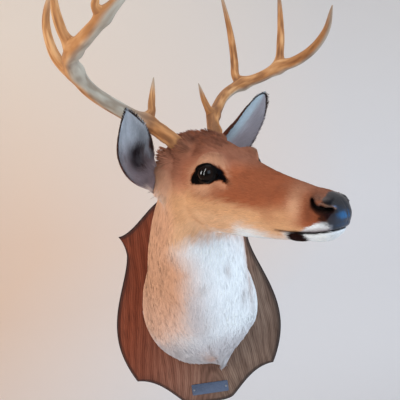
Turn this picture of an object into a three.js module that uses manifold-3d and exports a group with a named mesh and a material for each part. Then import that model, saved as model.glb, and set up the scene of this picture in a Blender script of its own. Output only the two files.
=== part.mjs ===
// A white-tailed buck's head and neck, mounted on a shield-shaped wooden board that hangs
// flat on a wall. Lengths are in millimetres.
//
// Frame: the wall is the plane Y = 0 and the board's back lies on it. The mount stands out
// towards -Y, +Z is up and +X is the deer's left. The origin is on the board's centre line.
// The head has a frame of its own: x towards the nose, y towards the deer's left, z towards
// the crown, with its origin midway between the eyes.

import * as THREE from 'three';
import { mergeVertices } from 'three/addons/utils/BufferGeometryUtils.js';
import Module from 'manifold-3d';

const wasm = await Module();
wasm.setup();

// ---------------------------------------------------------------- driving dimensions

const GAP = 0.3; // clearance between pieces that touch
const BEYOND = 900; // larger than the whole mount

const BOARD_THICKNESS = 20;
const BOARD_FOOT = -212; // height of the bottom of the shield
const BOARD_CROWN = 228; // height of its top
const BOARD_HALF_WIDTH = 170; // at the bulge of the sides

const PLATE = { width: 75, height: 22, thickness: 1.2, corner: 1.5, x: 5, z: -180 };
const PIN = { radius: 2.2, height: 1.4, inset: 4.5, sides: 8 };

const HEAD_PLACE = new THREE.Vector3(94, -321, 244); // midway between the eyes
const HEAD_YAW = 45; // degrees, towards the deer's left
const HEAD_PITCH = 15.2; // degrees, nose down
const HEAD_ROLL = 3.5; // degrees, leaning towards the deer's right
const NOSE_TIP = 205; // from mid-eyes to the front of the nose
const SKULL_BACK = -128; // where the head's own form ends, inside the neck

const EYE = { radius: 18, x: -2, y: 46.5, z: 1.5 };
const LID_OPENING = { length: 22, height: 15, depth: 10.5, x: -2, y: 62.5, z: 1 }; // half sizes
const MOUTH_CORNER = { x: 106, z: -70 };
const MOUTH_FRONT = { x: 196, z: -53 };

const CHEST_RADIUS = 125; // of the cape where it meets the board
const NAPE_MEETS_BOARD = 142; // height of the back of the neck at the board

const LOFT_SIDES = 26; // points round the head and the neck
const HEAD_RINGS = 21;
const NECK_RINGS = 15;
const EYE_ROUND = 14; // the ball and its socket have the same facets
const ROUND_TO_HIGH = 0.7; // facets of a ball from pole to pole, against those round it

// ---------------------------------------------------------------- small maths

const radians = THREE.MathUtils.degToRad;
const lerp = THREE.MathUtils.lerp;
const vector = (x, y, z) => new THREE.Vector3(x, y, z);

// A smooth function of one number through a few [place, value] pairs.
function curveOf(pairs) {
  const slope = (i) => {
    const a = pairs[Math.max(i - 1, 0)];
    const b = pairs[Math.min(i + 1, pairs.length - 1)];
    return (b[1] - a[1]) / (b[0] - a[0]);
  };
  return (x) => {
    const last = pairs.length - 1;
    if (x <= pairs[0][0]) return pairs[0][1];
    if (x >= pairs[last][0]) return pairs[last][1];
    let i = 0;
    while (x > pairs[i + 1][0]) i += 1;
    const [x0, y0] = pairs[i];
    const [x1, y1] = pairs[i + 1];
    const h = x1 - x0;
    const t = (x - x0) / h;
    const t2 = t * t;
    const t3 = t2 * t;
    const ends = (2 * t3 - 3 * t2 + 1) * y0 + (3 * t2 - 2 * t3) * y1;
    return ends + (t3 - 2 * t2 + t) * h * slope(i) + (t3 - t2) * h * slope(i + 1);
  };
}

const power = (v, p) => Math.sign(v) * Math.abs(v) ** p;
const bump = (x, centre, width) => Math.exp(-(((x - centre) / width) ** 2));

// ---------------------------------------------------------------- solids

// A closed surface from rings with equal numbers of points, capped by a fan at each end.
function loft(rings) {
  const sides = rings[0].length;
  const points = rings.flat();
  const faces = [];
  for (let r = 0; r < rings.length - 1; r += 1) {
    for (let i = 0; i < sides; i += 1) {
      const a = r * sides + i;
      const b = r * sides + ((i + 1) % sides);
      faces.push(a, b, b + sides, a, b + sides, a + sides);
    }
  }
  for (const [first, flip] of [[0, true], [(rings.length - 1) * sides, false]]) {
    const middle = vector(0, 0, 0);
    for (let i = 0; i < sides; i += 1) middle.add(points[first + i]);
    const hub = points.push(middle.divideScalar(sides)) - 1;
    for (let i = 0; i < sides; i += 1) {
      const a = first + i;
      const b = first + ((i + 1) % sides);
      faces.push(...(flip ? [hub, b, a] : [hub, a, b]));
    }
  }
  const geometry = new THREE.BufferGeometry().setFromPoints(points);
  geometry.setIndex(faces);
  return facingOut(geometry);
}

function volumeOf(geometry) {
  const p = geometry.attributes.position;
  const corner = (i) => vector(0, 0, 0).fromBufferAttribute(p, geometry.index.getX(i));
  let total = 0;
  for (let i = 0; i < geometry.index.count; i += 3) {
    total += corner(i).dot(corner(i + 1).cross(corner(i + 2))) / 6;
  }
  return total;
}

function facingOut(geometry) {
  if (volumeOf(geometry) < 0) {
    geometry.setIndex(Array.from(geometry.index.array).reverse());
  }
  return geometry;
}

function solidOf(geometry) {
  const plain = geometry.clone();
  plain.deleteAttribute('normal');
  plain.deleteAttribute('uv');
  const merged = facingOut(mergeVertices(plain, 1e-4));
  const mesh = new wasm.Mesh({
    numProp: 3,
    vertProperties: new Float32Array(merged.attributes.position.array),
    triVerts: new Uint32Array(merged.index.array),
  });
  return new wasm.Manifold(mesh);
}

function geometryOf(solid) {
  const mesh = solid.getMesh();
  const geometry = new THREE.BufferGeometry();
  geometry.setAttribute('position', new THREE.BufferAttribute(mesh.vertProperties, 3));
  geometry.setIndex(Array.from(mesh.triVerts));
  return geometry;
}

// A rounded mass on one side of the head: an ellipsoid with `round` facets about its axis.
function mass({ place, radii, turn, round }, side) {
  const geometry = new THREE.SphereGeometry(1, round, Math.round(round * ROUND_TO_HIGH));
  geometry.scale(...radii);
  geometry.rotateZ(radians(side * turn));
  geometry.translate(place[0], side * place[1], place[2]);
  return solidOf(geometry);
}

// A tube of oval section along a curve: radius(t) is its half-width and flat its flatness.
function tube(curve, radius, { from = 0, to = 1, rings = 12, sides = 9, flat = 1 } = {}) {
  const list = [];
  let across = null;
  for (let i = 0; i <= rings; i += 1) {
    const t = lerp(from, to, i / rings);
    const ahead = curve.getTangentAt(t);
    across = across ?? vector(0, 0, 1).cross(ahead);
    across = across.addScaledVector(ahead, -across.dot(ahead)).normalize();
    const other = ahead.clone().cross(across);
    const r = radius(t);
    const place = curve.getPointAt(t);
    const ring = [];
    for (let k = 0; k < sides; k += 1) {
      const angle = (k / sides) * 2 * Math.PI;
      const point = place.clone().addScaledVector(across, r * Math.cos(angle));
      ring.push(point.addScaledVector(other, r * flat * Math.sin(angle)));
    }
    list.push(ring);
  }
  return loft(list);
}

// ---------------------------------------------------------------- materials and scene

const finish = (colour, roughness, metalness = 0) => ({ color: colour, roughness, metalness });
const WOOD = finish(0x7a4a30, 0.45);
const STEEL = finish(0xb8c0c8, 0.35, 1);
const COAT_TAN = finish(0xb98358, 0.9);
const COAT_WHITE = finish(0xe6dccd, 0.9);
const COAT_BROWN = finish(0x9a5a34, 0.9);
const NOSE_SKIN = finish(0x1c1a1d, 0.25);
const EYE_GLASS = finish(0x0c0706, 0.05);
const ANTLER = finish(0xb98a55, 0.5);

const group = new THREE.Group();
const headGroup = new THREE.Group();
headGroup.position.copy(HEAD_PLACE);
headGroup.rotation.set(
  radians(HEAD_ROLL),
  radians(HEAD_PITCH),
  radians(HEAD_YAW - 90),
  'ZYX',
);
headGroup.updateMatrixWorld(true);
group.add(headGroup);
const headToWall = headGroup.matrixWorld;
const wallToHead = headToWall.clone().invert();

function addMesh(parent, name, geometry, look) {
  const mesh = new THREE.Mesh(geometry, new THREE.MeshStandardMaterial(look));
  mesh.name = name;
  parent.add(mesh);
  return mesh;
}

// ---------------------------------------------------------------- board and nameplate

// The right half of the shield, from its foot up to its crown, as bends between its cusps.
function shieldHalf() {
  const half = new THREE.Path();
  half.moveTo(0, BOARD_FOOT);
  half.bezierCurveTo(22, BOARD_FOOT, 40, BOARD_FOOT, 50, -206);
  half.bezierCurveTo(72, -188, 98, -151, 142, -149);
  half.bezierCurveTo(156, -125, BOARD_HALF_WIDTH, -90, BOARD_HALF_WIDTH, -55);
  half.bezierCurveTo(BOARD_HALF_WIDTH + 1, 10, 133, 66, 127, 112);
  half.bezierCurveTo(127, 128, 132, 143, 139, 153);
  half.bezierCurveTo(112, 155, 84, 190, 58, 208);
  half.bezierCurveTo(40, 222, 18, BOARD_CROWN, 0, BOARD_CROWN);
  return half.getPoints(4);
}

function boardGeometry() {
  const right = shieldHalf();
  const left = right.slice(1, -1).reverse().map((p) => new THREE.Vector2(-p.x, p.y));
  const outline = [...right, ...left];
  // Depth from the back and set-in from the outline, round the moulded edge.
  const moulding = [
    [0, 1.5], [1.5, 0], [12, 0], [13, 2], [17, 3.5], [19.4, 6], [BOARD_THICKNESS, 9],
  ];
  const rings = moulding.map(([depth, inset]) => outline.map((p) => {
    const shrink = 1 - inset / p.length();
    return vector(p.x * shrink, -depth, p.y * shrink);
  }));
  return loft(rings);
}

function plateGeometry() {
  const shape = new THREE.Shape();
  const x = PLATE.width / 2;
  const y = PLATE.height / 2;
  const c = PLATE.corner;
  shape.moveTo(-x + c, -y);
  shape.lineTo(x - c, -y).lineTo(x, -y + c).lineTo(x, y - c).lineTo(x - c, y);
  shape.lineTo(-x + c, y).lineTo(-x, y - c).lineTo(-x, -y + c).lineTo(-x + c, -y);
  return new THREE.ExtrudeGeometry(shape, { depth: PLATE.thickness, bevelEnabled: false });
}

function pinGeometry() {
  const { radius, height } = PIN;
  const dome = [[0, 0], [1, 0], [0.9, 0.5], [0.5, 0.9], [0, 1]];
  const profile = dome.map(([out, up]) => new THREE.Vector2(out * radius, up * height));
  return new THREE.LatheGeometry(profile, PIN.sides);
}

function addBoard() {
  addMesh(group, 'board', boardGeometry(), WOOD);
  const face = -BOARD_THICKNESS - GAP;
  const plate = addMesh(group, 'nameplate', plateGeometry(), STEEL);
  plate.rotation.x = Math.PI / 2;
  plate.position.set(PLATE.x, face, PLATE.z);
  for (const [side, name] of [[-1, 'nameplate_pin_right'], [1, 'nameplate_pin_left']]) {
    const pin = addMesh(group, name, pinGeometry(), STEEL);
    const out = PLATE.width / 2 - PIN.inset;
    pin.rotation.x = Math.PI;
    pin.position.set(PLATE.x + side * out, face - PLATE.thickness - GAP, PLATE.z);
  }
}

// ---------------------------------------------------------------- head

// The head's outline, by distance ahead of the eyes.
const topLine = curveOf([
  [SKULL_BACK, 14], [-105, 40], [-72, 51], [-40, 48], [-10, 38], [25, 25], [60, 15.5],
  [110, 5], [160, -3], [184, -8.5], [193, -14], [199, -21], [203, -28], [NOSE_TIP, -35],
]);
const underLine = curveOf([
  [SKULL_BACK, -70], [-90, -96], [-50, -106], [0, -104], [50, -98], [97, -91], [150, -81],
  [176, -75], [188, -67], [195, -58], [201, -47], [NOSE_TIP, -37],
]);
const halfBreadth = curveOf([
  [SKULL_BACK, 34], [-100, 49], [-60, 54], [-20, 56], [10, 54], [45, 44], [80, 35],
  [115, 29.5], [150, 28.5], [175, 29.5], [188, 26.5], [196, 21], [202, 13], [NOSE_TIP, 3],
]);
const widestLevel = curveOf([
  [SKULL_BACK, -12], [-40, -14], [10, -16], [50, -30], [90, -40], [140, -40],
  [170, -37], [193, -35], [NOSE_TIP, -36],
]);
// How square the section is above and below its widest level: 2 is an ellipse.
const topFullness = curveOf([
  [-100, 2.1], [-20, 2.4], [40, 2.1], [90, 1.75], [150, 1.9], [200, 2.3],
]);
const underFullness = curveOf([
  [-100, 2], [-30, 1.8], [40, 1.7], [100, 1.9], [170, 2.3], [200, 2.2],
]);

function headRing(x) {
  const ring = [];
  for (let k = 0; k < LOFT_SIDES; k += 1) {
    const angle = (k / LOFT_SIDES) * 2 * Math.PI;
    const up = Math.sin(angle) >= 0;
    const p = 2 / (up ? topFullness(x) : underFullness(x));
    const level = widestLevel(x);
    const reach = up ? topLine(x) - level : level - underLine(x);
    const y = halfBreadth(x) * power(Math.cos(angle), p);
    ring.push(vector(x, y, level + reach * power(Math.sin(angle), p)));
  }
  return ring;
}

// The rings crowd towards the nose, where the form closes fast.
function skullForm() {
  const rings = [];
  for (let i = 0; i <= HEAD_RINGS; i += 1) {
    const t = Math.sin((i / HEAD_RINGS) * Math.PI * 0.5);
    rings.push(headRing(lerp(SKULL_BACK, NOSE_TIP - 0.2, t)));
  }
  return solidOf(loft(rings));
}

// Pedicle: the short furred stump that each antler grows from.
const PEDICLE = { x: -83, y: 51, z: 44.5, radius: 13.5, flare: 9, length: 42 };

function antlerAxis(side) {
  return vector(-0.63, side * 0.53, 0.56).normalize();
}

function pedicle(side) {
  const top = vector(PEDICLE.x, side * PEDICLE.y, PEDICLE.z);
  const foot = top.clone().addScaledVector(antlerAxis(side), -PEDICLE.length);
  const line = new THREE.LineCurve3(foot, top);
  const radius = (t) => PEDICLE.radius + PEDICLE.flare * (1 - t);
  return solidOf(tube(line, radius, { rings: 2, sides: 10 }));
}

// Masses given for the deer's left side and mirrored to its right.
const ORBIT = { place: [-3, 36, 6], radii: [31, 26, 26], turn: -12, round: 14 };
const CHEEK = { place: [-42, 24, -48], radii: [50, 25, 42], turn: -6, round: 14 };
const NOSTRIL_WING = { place: [178, 17, -25], radii: [20, 12.5, 13], turn: -14, round: 10 };
const CROWN = { place: [-76, 0, 33], radii: [27, 57, 19], turn: 0, round: 14 };

function headForm() {
  let form = skullForm().add(mass(CROWN, 1));
  for (const side of [-1, 1]) {
    for (const part of [ORBIT, CHEEK, NOSTRIL_WING]) form = form.add(mass(part, side));
    form = form.add(pedicle(side));
  }
  return form;
}

// Each nostril is a slanting comma-shaped hollow in the side of the nose.
const NOSTRIL_FRONT = { place: [190, 21.5, -25], radii: [7.5, 5, 4.2], turn: -30, round: 8 };
const NOSTRIL_BACK = { place: [181, 27, -20.5], radii: [7, 5, 5.5], turn: -20, round: 8 };

function nostril(side) {
  return mass(NOSTRIL_FRONT, side).add(mass(NOSTRIL_BACK, side));
}

// ---------------------------------------------------------------- neck and shoulder

// By distance out from the wall along the spine: sideways place, turn, half-width, and the
// heights of the nape and of the throat.
const NECK_START = BOARD_THICKNESS + GAP;
const NECK_END = 272;
const neckMiddle = curveOf([[NECK_START, 9], [90, 13], [150, 22], [210, 36], [NECK_END, 52]]);
const neckTurn = curveOf([[NECK_START, 0], [90, 3], [150, 12], [210, 30], [NECK_END, 45]]);
const neckHalfWidth = curveOf([
  [NECK_START, CHEST_RADIUS], [38, 118], [60, 110], [90, 103], [140, 96], [190, 88],
  [235, 76], [NECK_END, 55],
]);
const napeHeight = curveOf([
  [NECK_START, NAPE_MEETS_BOARD], [60, 168], [120, 216], [180, 267], [230, 301],
  [NECK_END, 310],
]);
const throatHeight = curveOf([
  [NECK_START, -127], [50, -122], [95, -98], [135, -57], [180, 2], [215, 60],
  [245, 112], [NECK_END, 156],
]);
// The section near the board: the height of its middle, how far out it holds, and how full
// its lower quarter is on the deer's right (1 is an ellipse, less is squarer).
const CHEST = { level: -10, depth: 140, flank: 0.84 };

// The brisket's long hair ends in one lock that hangs to the deer's left of the middle, with
// a hollow beside it. Angles go round the section from the deer's left, down being -90.
const LOCK = { angle: -78, spread: 9, length: 24, depth: 75 };
const LOCK_HOLLOW = { angle: -45, spread: 13, depth: 13 };

function brisketLock(angle, nearness) {
  const degrees = THREE.MathUtils.radToDeg(angle);
  const lock = LOCK.length * bump(degrees, LOCK.angle, LOCK.spread);
  const hollow = LOCK_HOLLOW.depth * bump(degrees, LOCK_HOLLOW.angle, LOCK_HOLLOW.spread);
  return nearness * (lock - hollow);
}

function neckRing(out) {
  const turn = radians(neckTurn(out));
  const side = vector(Math.cos(turn), Math.sin(turn), 0);
  const middle = (napeHeight(out) + throatHeight(out)) / 2;
  const away = THREE.MathUtils.smoothstep(out, NECK_START, CHEST.depth);
  const level = lerp(CHEST.level, middle, away);
  const nearness = 1 - THREE.MathUtils.smoothstep(out, NECK_START, LOCK.depth);
  const ring = [];
  for (let k = 0; k < LOFT_SIDES; k += 1) {
    const angle = ((k + 0.5) / LOFT_SIDES) * 2 * Math.PI - Math.PI;
    const reach = angle > 0 ? napeHeight(out) - level : level - throatHeight(out);
    const lock = brisketLock(angle, nearness);
    const onFlank = angle < -Math.PI / 2;
    const fullness = onFlank ? lerp(1, CHEST.flank, nearness) : 1;
    const y = (neckHalfWidth(out) + lock) * power(Math.cos(angle), fullness);
    const z = level + (reach + lock) * Math.sin(angle);
    ring.push(vector(neckMiddle(out), -out, z).addScaledVector(side, y));
  }
  return ring;
}

function neckForm() {
  const rings = [];
  for (let i = 0; i <= NECK_RINGS; i += 1) {
    rings.push(neckRing(lerp(NECK_START, NECK_END, i / NECK_RINGS)));
  }
  return solidOf(loft(rings));
}

// ---------------------------------------------------------------- parting the flesh

// A block that fills the space ahead of a plane through a point, by a gap.
function blockAhead(point, direction, margin) {
  const box = new THREE.BoxGeometry(BEYOND, BEYOND, BEYOND);
  box.translate(0, 0, BEYOND / 2 + margin);
  const turn = new THREE.Quaternion().setFromUnitVectors(vector(0, 0, 1), direction);
  box.applyQuaternion(turn);
  box.translate(...point.toArray());
  return solidOf(box);
}

// Cuts a solid in two at a plane, with a gap between the halves: [ahead, behind].
function part(solid, point, direction) {
  const unit = direction.clone().normalize();
  const ahead = solid.intersect(blockAhead(point, unit, GAP / 2));
  const behind = solid.intersect(blockAhead(point, unit.clone().negate(), GAP / 2));
  return [ahead, behind];
}

// Takes off what lies ahead of two planes at once, with a gap: [the corner, the rest].
function partCorner(solid, first, second) {
  const corner = (margin) => {
    const [a, b] = [first, second].map(({ point, direction }) => (
      blockAhead(point, direction.clone().normalize(), margin)));
    return a.intersect(b);
  };
  return [solid.intersect(corner(GAP / 2)), solid.subtract(corner(-GAP / 2))];
}

const CAPE_CUT = { point: vector(15, -78, -10), direction: vector(0.05, -0.86, 0.5) };
const NAPE_CUT = { point: vector(-97, 0, -25), direction: vector(0.96, 0, 0.27) };
const MUZZLE_CUT = { point: vector(84, 0, -40), direction: vector(1, 0, 0.1) };
const NOSE_CUT = { point: vector(177, 0, -9), direction: vector(0.95, 0, 0.3) };
const LIP_CUT = { point: vector(196, 0, -44), direction: vector(0.35, 0, 0.94) };

function eyeSocket(side) {
  const radius = EYE.radius + GAP;
  const ball = {
    place: [EYE.x, EYE.y, EYE.z], radii: [radius, radius, radius], turn: 0, round: EYE_ROUND,
  };
  const { length, height, depth, x, y, z } = LID_OPENING;
  const lids = { place: [x, y, z], radii: [length, depth, height], turn: -8, round: 12 };
  return mass(ball, side).add(mass(lids, side));
}

function fleshForms() {
  const neckInHeadFrame = neckForm().transform(wallToHead.elements);
  const whole = headForm().add(neckInHeadFrame);
  let carved = whole;
  for (const side of [-1, 1]) {
    carved = carved.subtract(eyeSocket(side)).subtract(nostril(side));
  }
  return { whole, carved };
}

function partFlesh(carved) {
  const capePoint = CAPE_CUT.point.clone().applyMatrix4(wallToHead);
  const capeDirection = CAPE_CUT.direction.clone().transformDirection(wallToHead);
  const [beyondCape, cape] = part(carved, capePoint, capeDirection);
  const [headPart, neck] = part(beyondCape, NAPE_CUT.point, NAPE_CUT.direction);
  const [face, head] = part(headPart, MUZZLE_CUT.point, MUZZLE_CUT.direction);

  const corner = vector(MOUTH_CORNER.x, 0, MOUTH_CORNER.z);
  const mouth = vector(MOUTH_FRONT.x, 0, MOUTH_FRONT.z).sub(corner);
  const [upper, jaw] = part(face, corner, vector(-mouth.z, 0, mouth.x));
  const [nosePad, muzzle] = partCorner(upper, NOSE_CUT, LIP_CUT);
  return { cape, neck, head, muzzle, jaw, nosePad };
}

function addFlesh(parts) {
  const inWallFrame = (solid) => geometryOf(solid.transform(headToWall.elements));
  addMesh(group, 'shoulder', inWallFrame(parts.cape), COAT_WHITE);
  addMesh(group, 'neck', inWallFrame(parts.neck), COAT_TAN);
  addMesh(headGroup, 'head', geometryOf(parts.head), COAT_BROWN);
  addMesh(headGroup, 'muzzle', geometryOf(parts.muzzle), COAT_BROWN);
  addMesh(headGroup, 'lower_jaw', geometryOf(parts.jaw), COAT_WHITE);
  addMesh(headGroup, 'nose_pad', geometryOf(parts.nosePad), NOSE_SKIN);
}

function addEyes() {
  for (const [side, name] of [[-1, 'eye_right'], [1, 'eye_left']]) {
    const high = Math.round(EYE_ROUND * ROUND_TO_HIGH);
    const ball = new THREE.SphereGeometry(EYE.radius, EYE_ROUND, high);
    const eye = addMesh(headGroup, name, ball, EYE_GLASS);
    eye.position.set(EYE.x, side * EYE.y, EYE.z);
  }
}

// ---------------------------------------------------------------- ears

const EAR_PATH = [[-108, 62, -28], [-98, 90, -5], [-80, 118, 30], [-66, 136, 66], [-56, 150, 99]];
const EAR_RINGS = 11;
const EAR_ARC = 6; // steps across the cup
// How far each opening looks outwards, how much the tip and the root are raised, and size.
const EAR_RIGHT = { side: -1, outward: 0.2, tip: -4, root: 6, broad: 1 };
const EAR_LEFT = { side: 1, outward: -0.3, tip: 10, root: 0, broad: 1.06 };
const EAR_THICKNESS = 4.5;
const EAR_RIM = 0.4; // thickness of the rim as a share of that
const EAR_LIP = 0.8; // how far the outside reaches round the rim
const earHalfWidth = curveOf([
  [0, 16], [0.15, 22], [0.35, 29.5], [0.55, 31.5], [0.75, 25.5], [0.9, 14], [1, 2.2],
]);
const earCup = curveOf([[0, 13], [0.2, 25], [0.45, 19], [0.75, 10], [1, 1]]);
const earFill = curveOf([[0, 1], [0.12, 0.75], [0.26, 0.12], [0.4, 0], [1, 0]]);

// The ear is a cup whose opening looks ahead. Its root is solid and fills into the head.
function earForm({ side, outward, tip, root, broad }) {
  const last = EAR_PATH.length - 1;
  const spine = EAR_PATH.map(([x, y, z], i) => vector(x, side * y, z + lerp(root, tip, i / last)));
  const path = new THREE.CatmullRomCurve3(spine);
  const opening = vector(0.95, side * outward, 0.05).normalize();
  const rings = [];
  for (let i = 0; i <= EAR_RINGS; i += 1) {
    const t = i / EAR_RINGS;
    const ahead = path.getTangentAt(t);
    const facing = opening.clone().addScaledVector(ahead, -opening.dot(ahead)).normalize();
    const across = facing.clone().cross(ahead);
    const place = path.getPointAt(t);
    const width = broad * earHalfWidth(t);
    const cup = earCup(t);
    const ring = [];
    const arcPoint = (angle, reach, depth) => place.clone()
      .addScaledVector(across, reach * Math.sin(angle))
      .addScaledVector(facing, -depth * Math.cos(angle));
    for (let k = 0; k <= EAR_ARC; k += 1) {
      const angle = lerp(-Math.PI / 2, Math.PI / 2, k / EAR_ARC);
      ring.push(arcPoint(angle, width, cup * (1 - earFill(t))));
    }
    for (let k = 0; k <= EAR_ARC; k += 1) {
      const angle = lerp(Math.PI / 2, -Math.PI / 2, k / EAR_ARC);
      const wall = EAR_THICKNESS * lerp(EAR_RIM, 1, Math.cos(angle));
      const outer = arcPoint(angle, width + EAR_LIP, cup + wall);
      ring.push(outer.addScaledVector(facing, -1));
    }
    rings.push(ring);
  }
  return solidOf(loft(rings));
}

// The flesh a little enlarged about the skull, so that the ears end just clear of it.
const SKULL_MIDDLE = [-95, 0, -15];
const EAR_CLEARANCE = 1.006;

function enlarged(whole) {
  const centred = whole.translate(SKULL_MIDDLE.map((v) => -v));
  return centred.scale(EAR_CLEARANCE).translate(SKULL_MIDDLE);
}

function largestOf(solid) {
  const pieces = solid.decompose();
  pieces.sort((a, b) => b.volume() - a.volume());
  return pieces[0];
}

function addEars(whole) {
  const clear = enlarged(whole);
  for (const [name, ear] of [['ear_right', EAR_RIGHT], ['ear_left', EAR_LEFT]]) {
    addMesh(headGroup, name, geometryOf(largestOf(earForm(ear).subtract(clear))), COAT_BROWN);
  }
}

// ---------------------------------------------------------------- antlers

// Each beam and tine is a curve through a few points in the head's frame. A tine is given by
// its name, its thickness at the root and its points; the beam is split where tines grow.
const RIGHT_ANTLER = {
  name: 'antler_right',
  side: -1,
  thick: 12,
  beam: [
    [-83, -51, 45.5], [-104, -69, 64], [-116, -113, 87], [-132, -164, 122],
    [-120, -200, 157], [-96, -214, 170], [-52, -224, 187], [-9, -228, 208],
    [10, -212, 234], [3, -173, 269],
  ],
  tines: [
    ['brow_tine', 8, [[-104, -69, 64], [-108, -67, 88], [-114, -60, 107], [-121, -50, 137]]],
    ['tine_2', 9, [
      [-130, -180, 136], [-151, -191, 152], [-171, -197, 178], [-189, -193, 225],
      [-188, -170, 283],
    ]],
    ['tine_3', 9, [[-98, -213, 169], [-86, -228, 187], [-94, -235, 217], [-107, -232, 268]]],
    ['tine_4', 7, [[-30, -227, 197], [-14, -234, 211], [-2, -240, 229], [4, -240, 248]]],
  ],
};
const LEFT_ANTLER = {
  name: 'antler_left',
  side: 1,
  thick: 10.8,
  beam: [
    [-83, 51, 45.5], [-104, 68, 64], [-121, 95, 80], [-140, 136, 102], [-142, 173, 118],
    [-112, 209, 136], [-81, 223, 154], [-51, 228, 164], [-10, 219, 184], [27, 200, 212],
    [59, 165, 248],
  ],
  tines: [
    ['brow_tine', 7.5, [[-104, 68, 65], [-111, 66, 80], [-116, 59, 97], [-121, 50, 126]]],
    ['tine_2', 9, [
      [-142, 171, 117], [-158, 187, 138], [-170, 196, 165], [-182, 197, 216],
      [-192, 175, 300],
    ]],
    ['tine_3', 8.5, [[-84, 221, 152], [-86, 227, 173], [-91, 234, 220], [-98, 231, 302]]],
  ],
};

const curveThrough = (points) => new THREE.CatmullRomCurve3(
  points.map((p) => vector(...p)), false, 'centripetal');

// The place along a curve, from 0 to 1, that lies nearest a point.
function nearestPlace(curve, point) {
  const steps = 200;
  let best = 0;
  for (let i = 1; i <= steps; i += 1) {
    const closer = curve.getPointAt(i / steps).distanceTo(point);
    if (closer < curve.getPointAt(best).distanceTo(point)) best = i / steps;
  }
  return best;
}

// Beam thickness: wide at the burr, even along the middle, tapering over the last stretch.
function beamRadius(thick) {
  const shape = curveOf([
    [0, 1.22], [0.018, 1.26], [0.032, 1.06], [0.1, 1.03], [0.3, 0.95], [0.6, 0.95], [0.8, 0.72],
    [0.93, 0.42], [1, 0.12],
  ]);
  return (t) => thick * shape(t);
}

function tineRadius(thick) {
  const shape = curveOf([[0, 1], [0.25, 0.72], [0.6, 0.52], [0.85, 0.34], [1, 0.13]]);
  return (t) => thick * shape(t);
}

const BEAM_RING_STEP = 15;
const BEAM_FLATNESS = 0.9;
const BURR_SHARE = 0.01; // of the beam's length
const BURR_RINGS = 3; // extra rings that draw the burr
const CUTTER_MARGIN = 1.2 * GAP;
const TINE_SIZE = { rings: 7, sides: 7 };

// One stretch of the beam, grown by a margin to serve as the cutter for its tines.
function beamPiece(curve, thick, from, to, margin) {
  const length = curve.getLength();
  const radius = beamRadius(thick);
  const atBurr = from < BURR_SHARE;
  const even = Math.round(((to - from) * length) / BEAM_RING_STEP);
  const rings = Math.max(2, even + (atBurr ? BURR_RINGS : 0));
  const reach = margin / length;
  const ends = { from: Math.max(0, from - reach), to: Math.min(1, to + reach) };
  const size = { ...ends, rings, sides: 8, flat: BEAM_FLATNESS };
  return tube(curve, (t) => radius(t) + margin, size);
}

function addAntler(antler) {
  const curve = curveThrough(antler.beam);
  const half = GAP / 2 / curve.getLength();
  const forks = antler.tines.map(([, , points]) => nearestPlace(curve, vector(...points[0])));
  const cuts = [2 * half, ...forks, 1 + half];
  let clear = null;
  for (let i = 0; i < cuts.length - 1; i += 1) {
    const from = cuts[i] + (i > 0 ? half : 0);
    const to = cuts[i + 1] - half;
    const piece = beamPiece(curve, antler.thick, from, to, 0);
    addMesh(headGroup, `${antler.name}_beam_${i + 1}`, piece, ANTLER);
    const grown = solidOf(beamPiece(curve, antler.thick, from, to, CUTTER_MARGIN));
    clear = clear ? clear.add(grown) : grown;
  }
  for (const [name, thick, points] of antler.tines) {
    const tine = solidOf(tube(curveThrough(points), tineRadius(thick), TINE_SIZE));
    const grown = geometryOf(largestOf(tine.subtract(clear)));
    addMesh(headGroup, `${antler.name}_${name}`, grown, ANTLER);
  }
}

// ---------------------------------------------------------------- assembly

const { whole, carved } = fleshForms();
addBoard();
addFlesh(partFlesh(carved));
addEyes();
addEars(whole);
addAntler(RIGHT_ANTLER);
addAntler(LEFT_ANTLER);

export default group;
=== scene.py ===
"""A white-tailed buck's shoulder mount on its board: every visible surface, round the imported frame.

Lengths are in metres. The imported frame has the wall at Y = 0, the mount standing out towards -Y,
+Z up and +X at the deer's left. The head has a frame of its own: x towards the nose, y towards the deer's
left, z towards the crown, from midway between the eyes.
"""

import math

import bmesh
import bpy
import numpy as np
from mathutils import Euler, Matrix, Vector


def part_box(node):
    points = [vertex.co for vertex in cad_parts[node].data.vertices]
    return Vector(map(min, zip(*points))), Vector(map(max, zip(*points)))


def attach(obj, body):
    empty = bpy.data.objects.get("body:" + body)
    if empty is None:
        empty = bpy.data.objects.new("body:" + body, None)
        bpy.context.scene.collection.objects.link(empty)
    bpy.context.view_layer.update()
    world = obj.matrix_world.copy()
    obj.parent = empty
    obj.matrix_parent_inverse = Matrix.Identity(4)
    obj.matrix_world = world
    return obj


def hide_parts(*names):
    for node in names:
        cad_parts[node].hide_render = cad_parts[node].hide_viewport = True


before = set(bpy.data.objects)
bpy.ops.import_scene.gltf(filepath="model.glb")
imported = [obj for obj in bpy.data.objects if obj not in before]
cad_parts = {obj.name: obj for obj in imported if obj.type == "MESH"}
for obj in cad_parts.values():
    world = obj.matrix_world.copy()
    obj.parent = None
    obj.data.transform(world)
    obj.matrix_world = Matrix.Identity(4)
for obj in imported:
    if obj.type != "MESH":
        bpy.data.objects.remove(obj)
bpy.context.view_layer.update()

MM = 0.001

# ---------------------------------------------------------------- places

HEAD_PLACE = np.array((0.094, -0.321, 0.244))
HEAD_ROLL, HEAD_PITCH, HEAD_YAW = 3.5, 15.2, -45.0
HEAD_AXES = np.array(
    Euler([math.radians(a) for a in (HEAD_ROLL, HEAD_PITCH, HEAD_YAW)], "XYZ").to_matrix()
)

CAMERA_PLACE = (0.0395, -1.2, 0.2052)
CAMERA_ROLL = 8.2
CAMERA_LENS = 51.59

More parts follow.
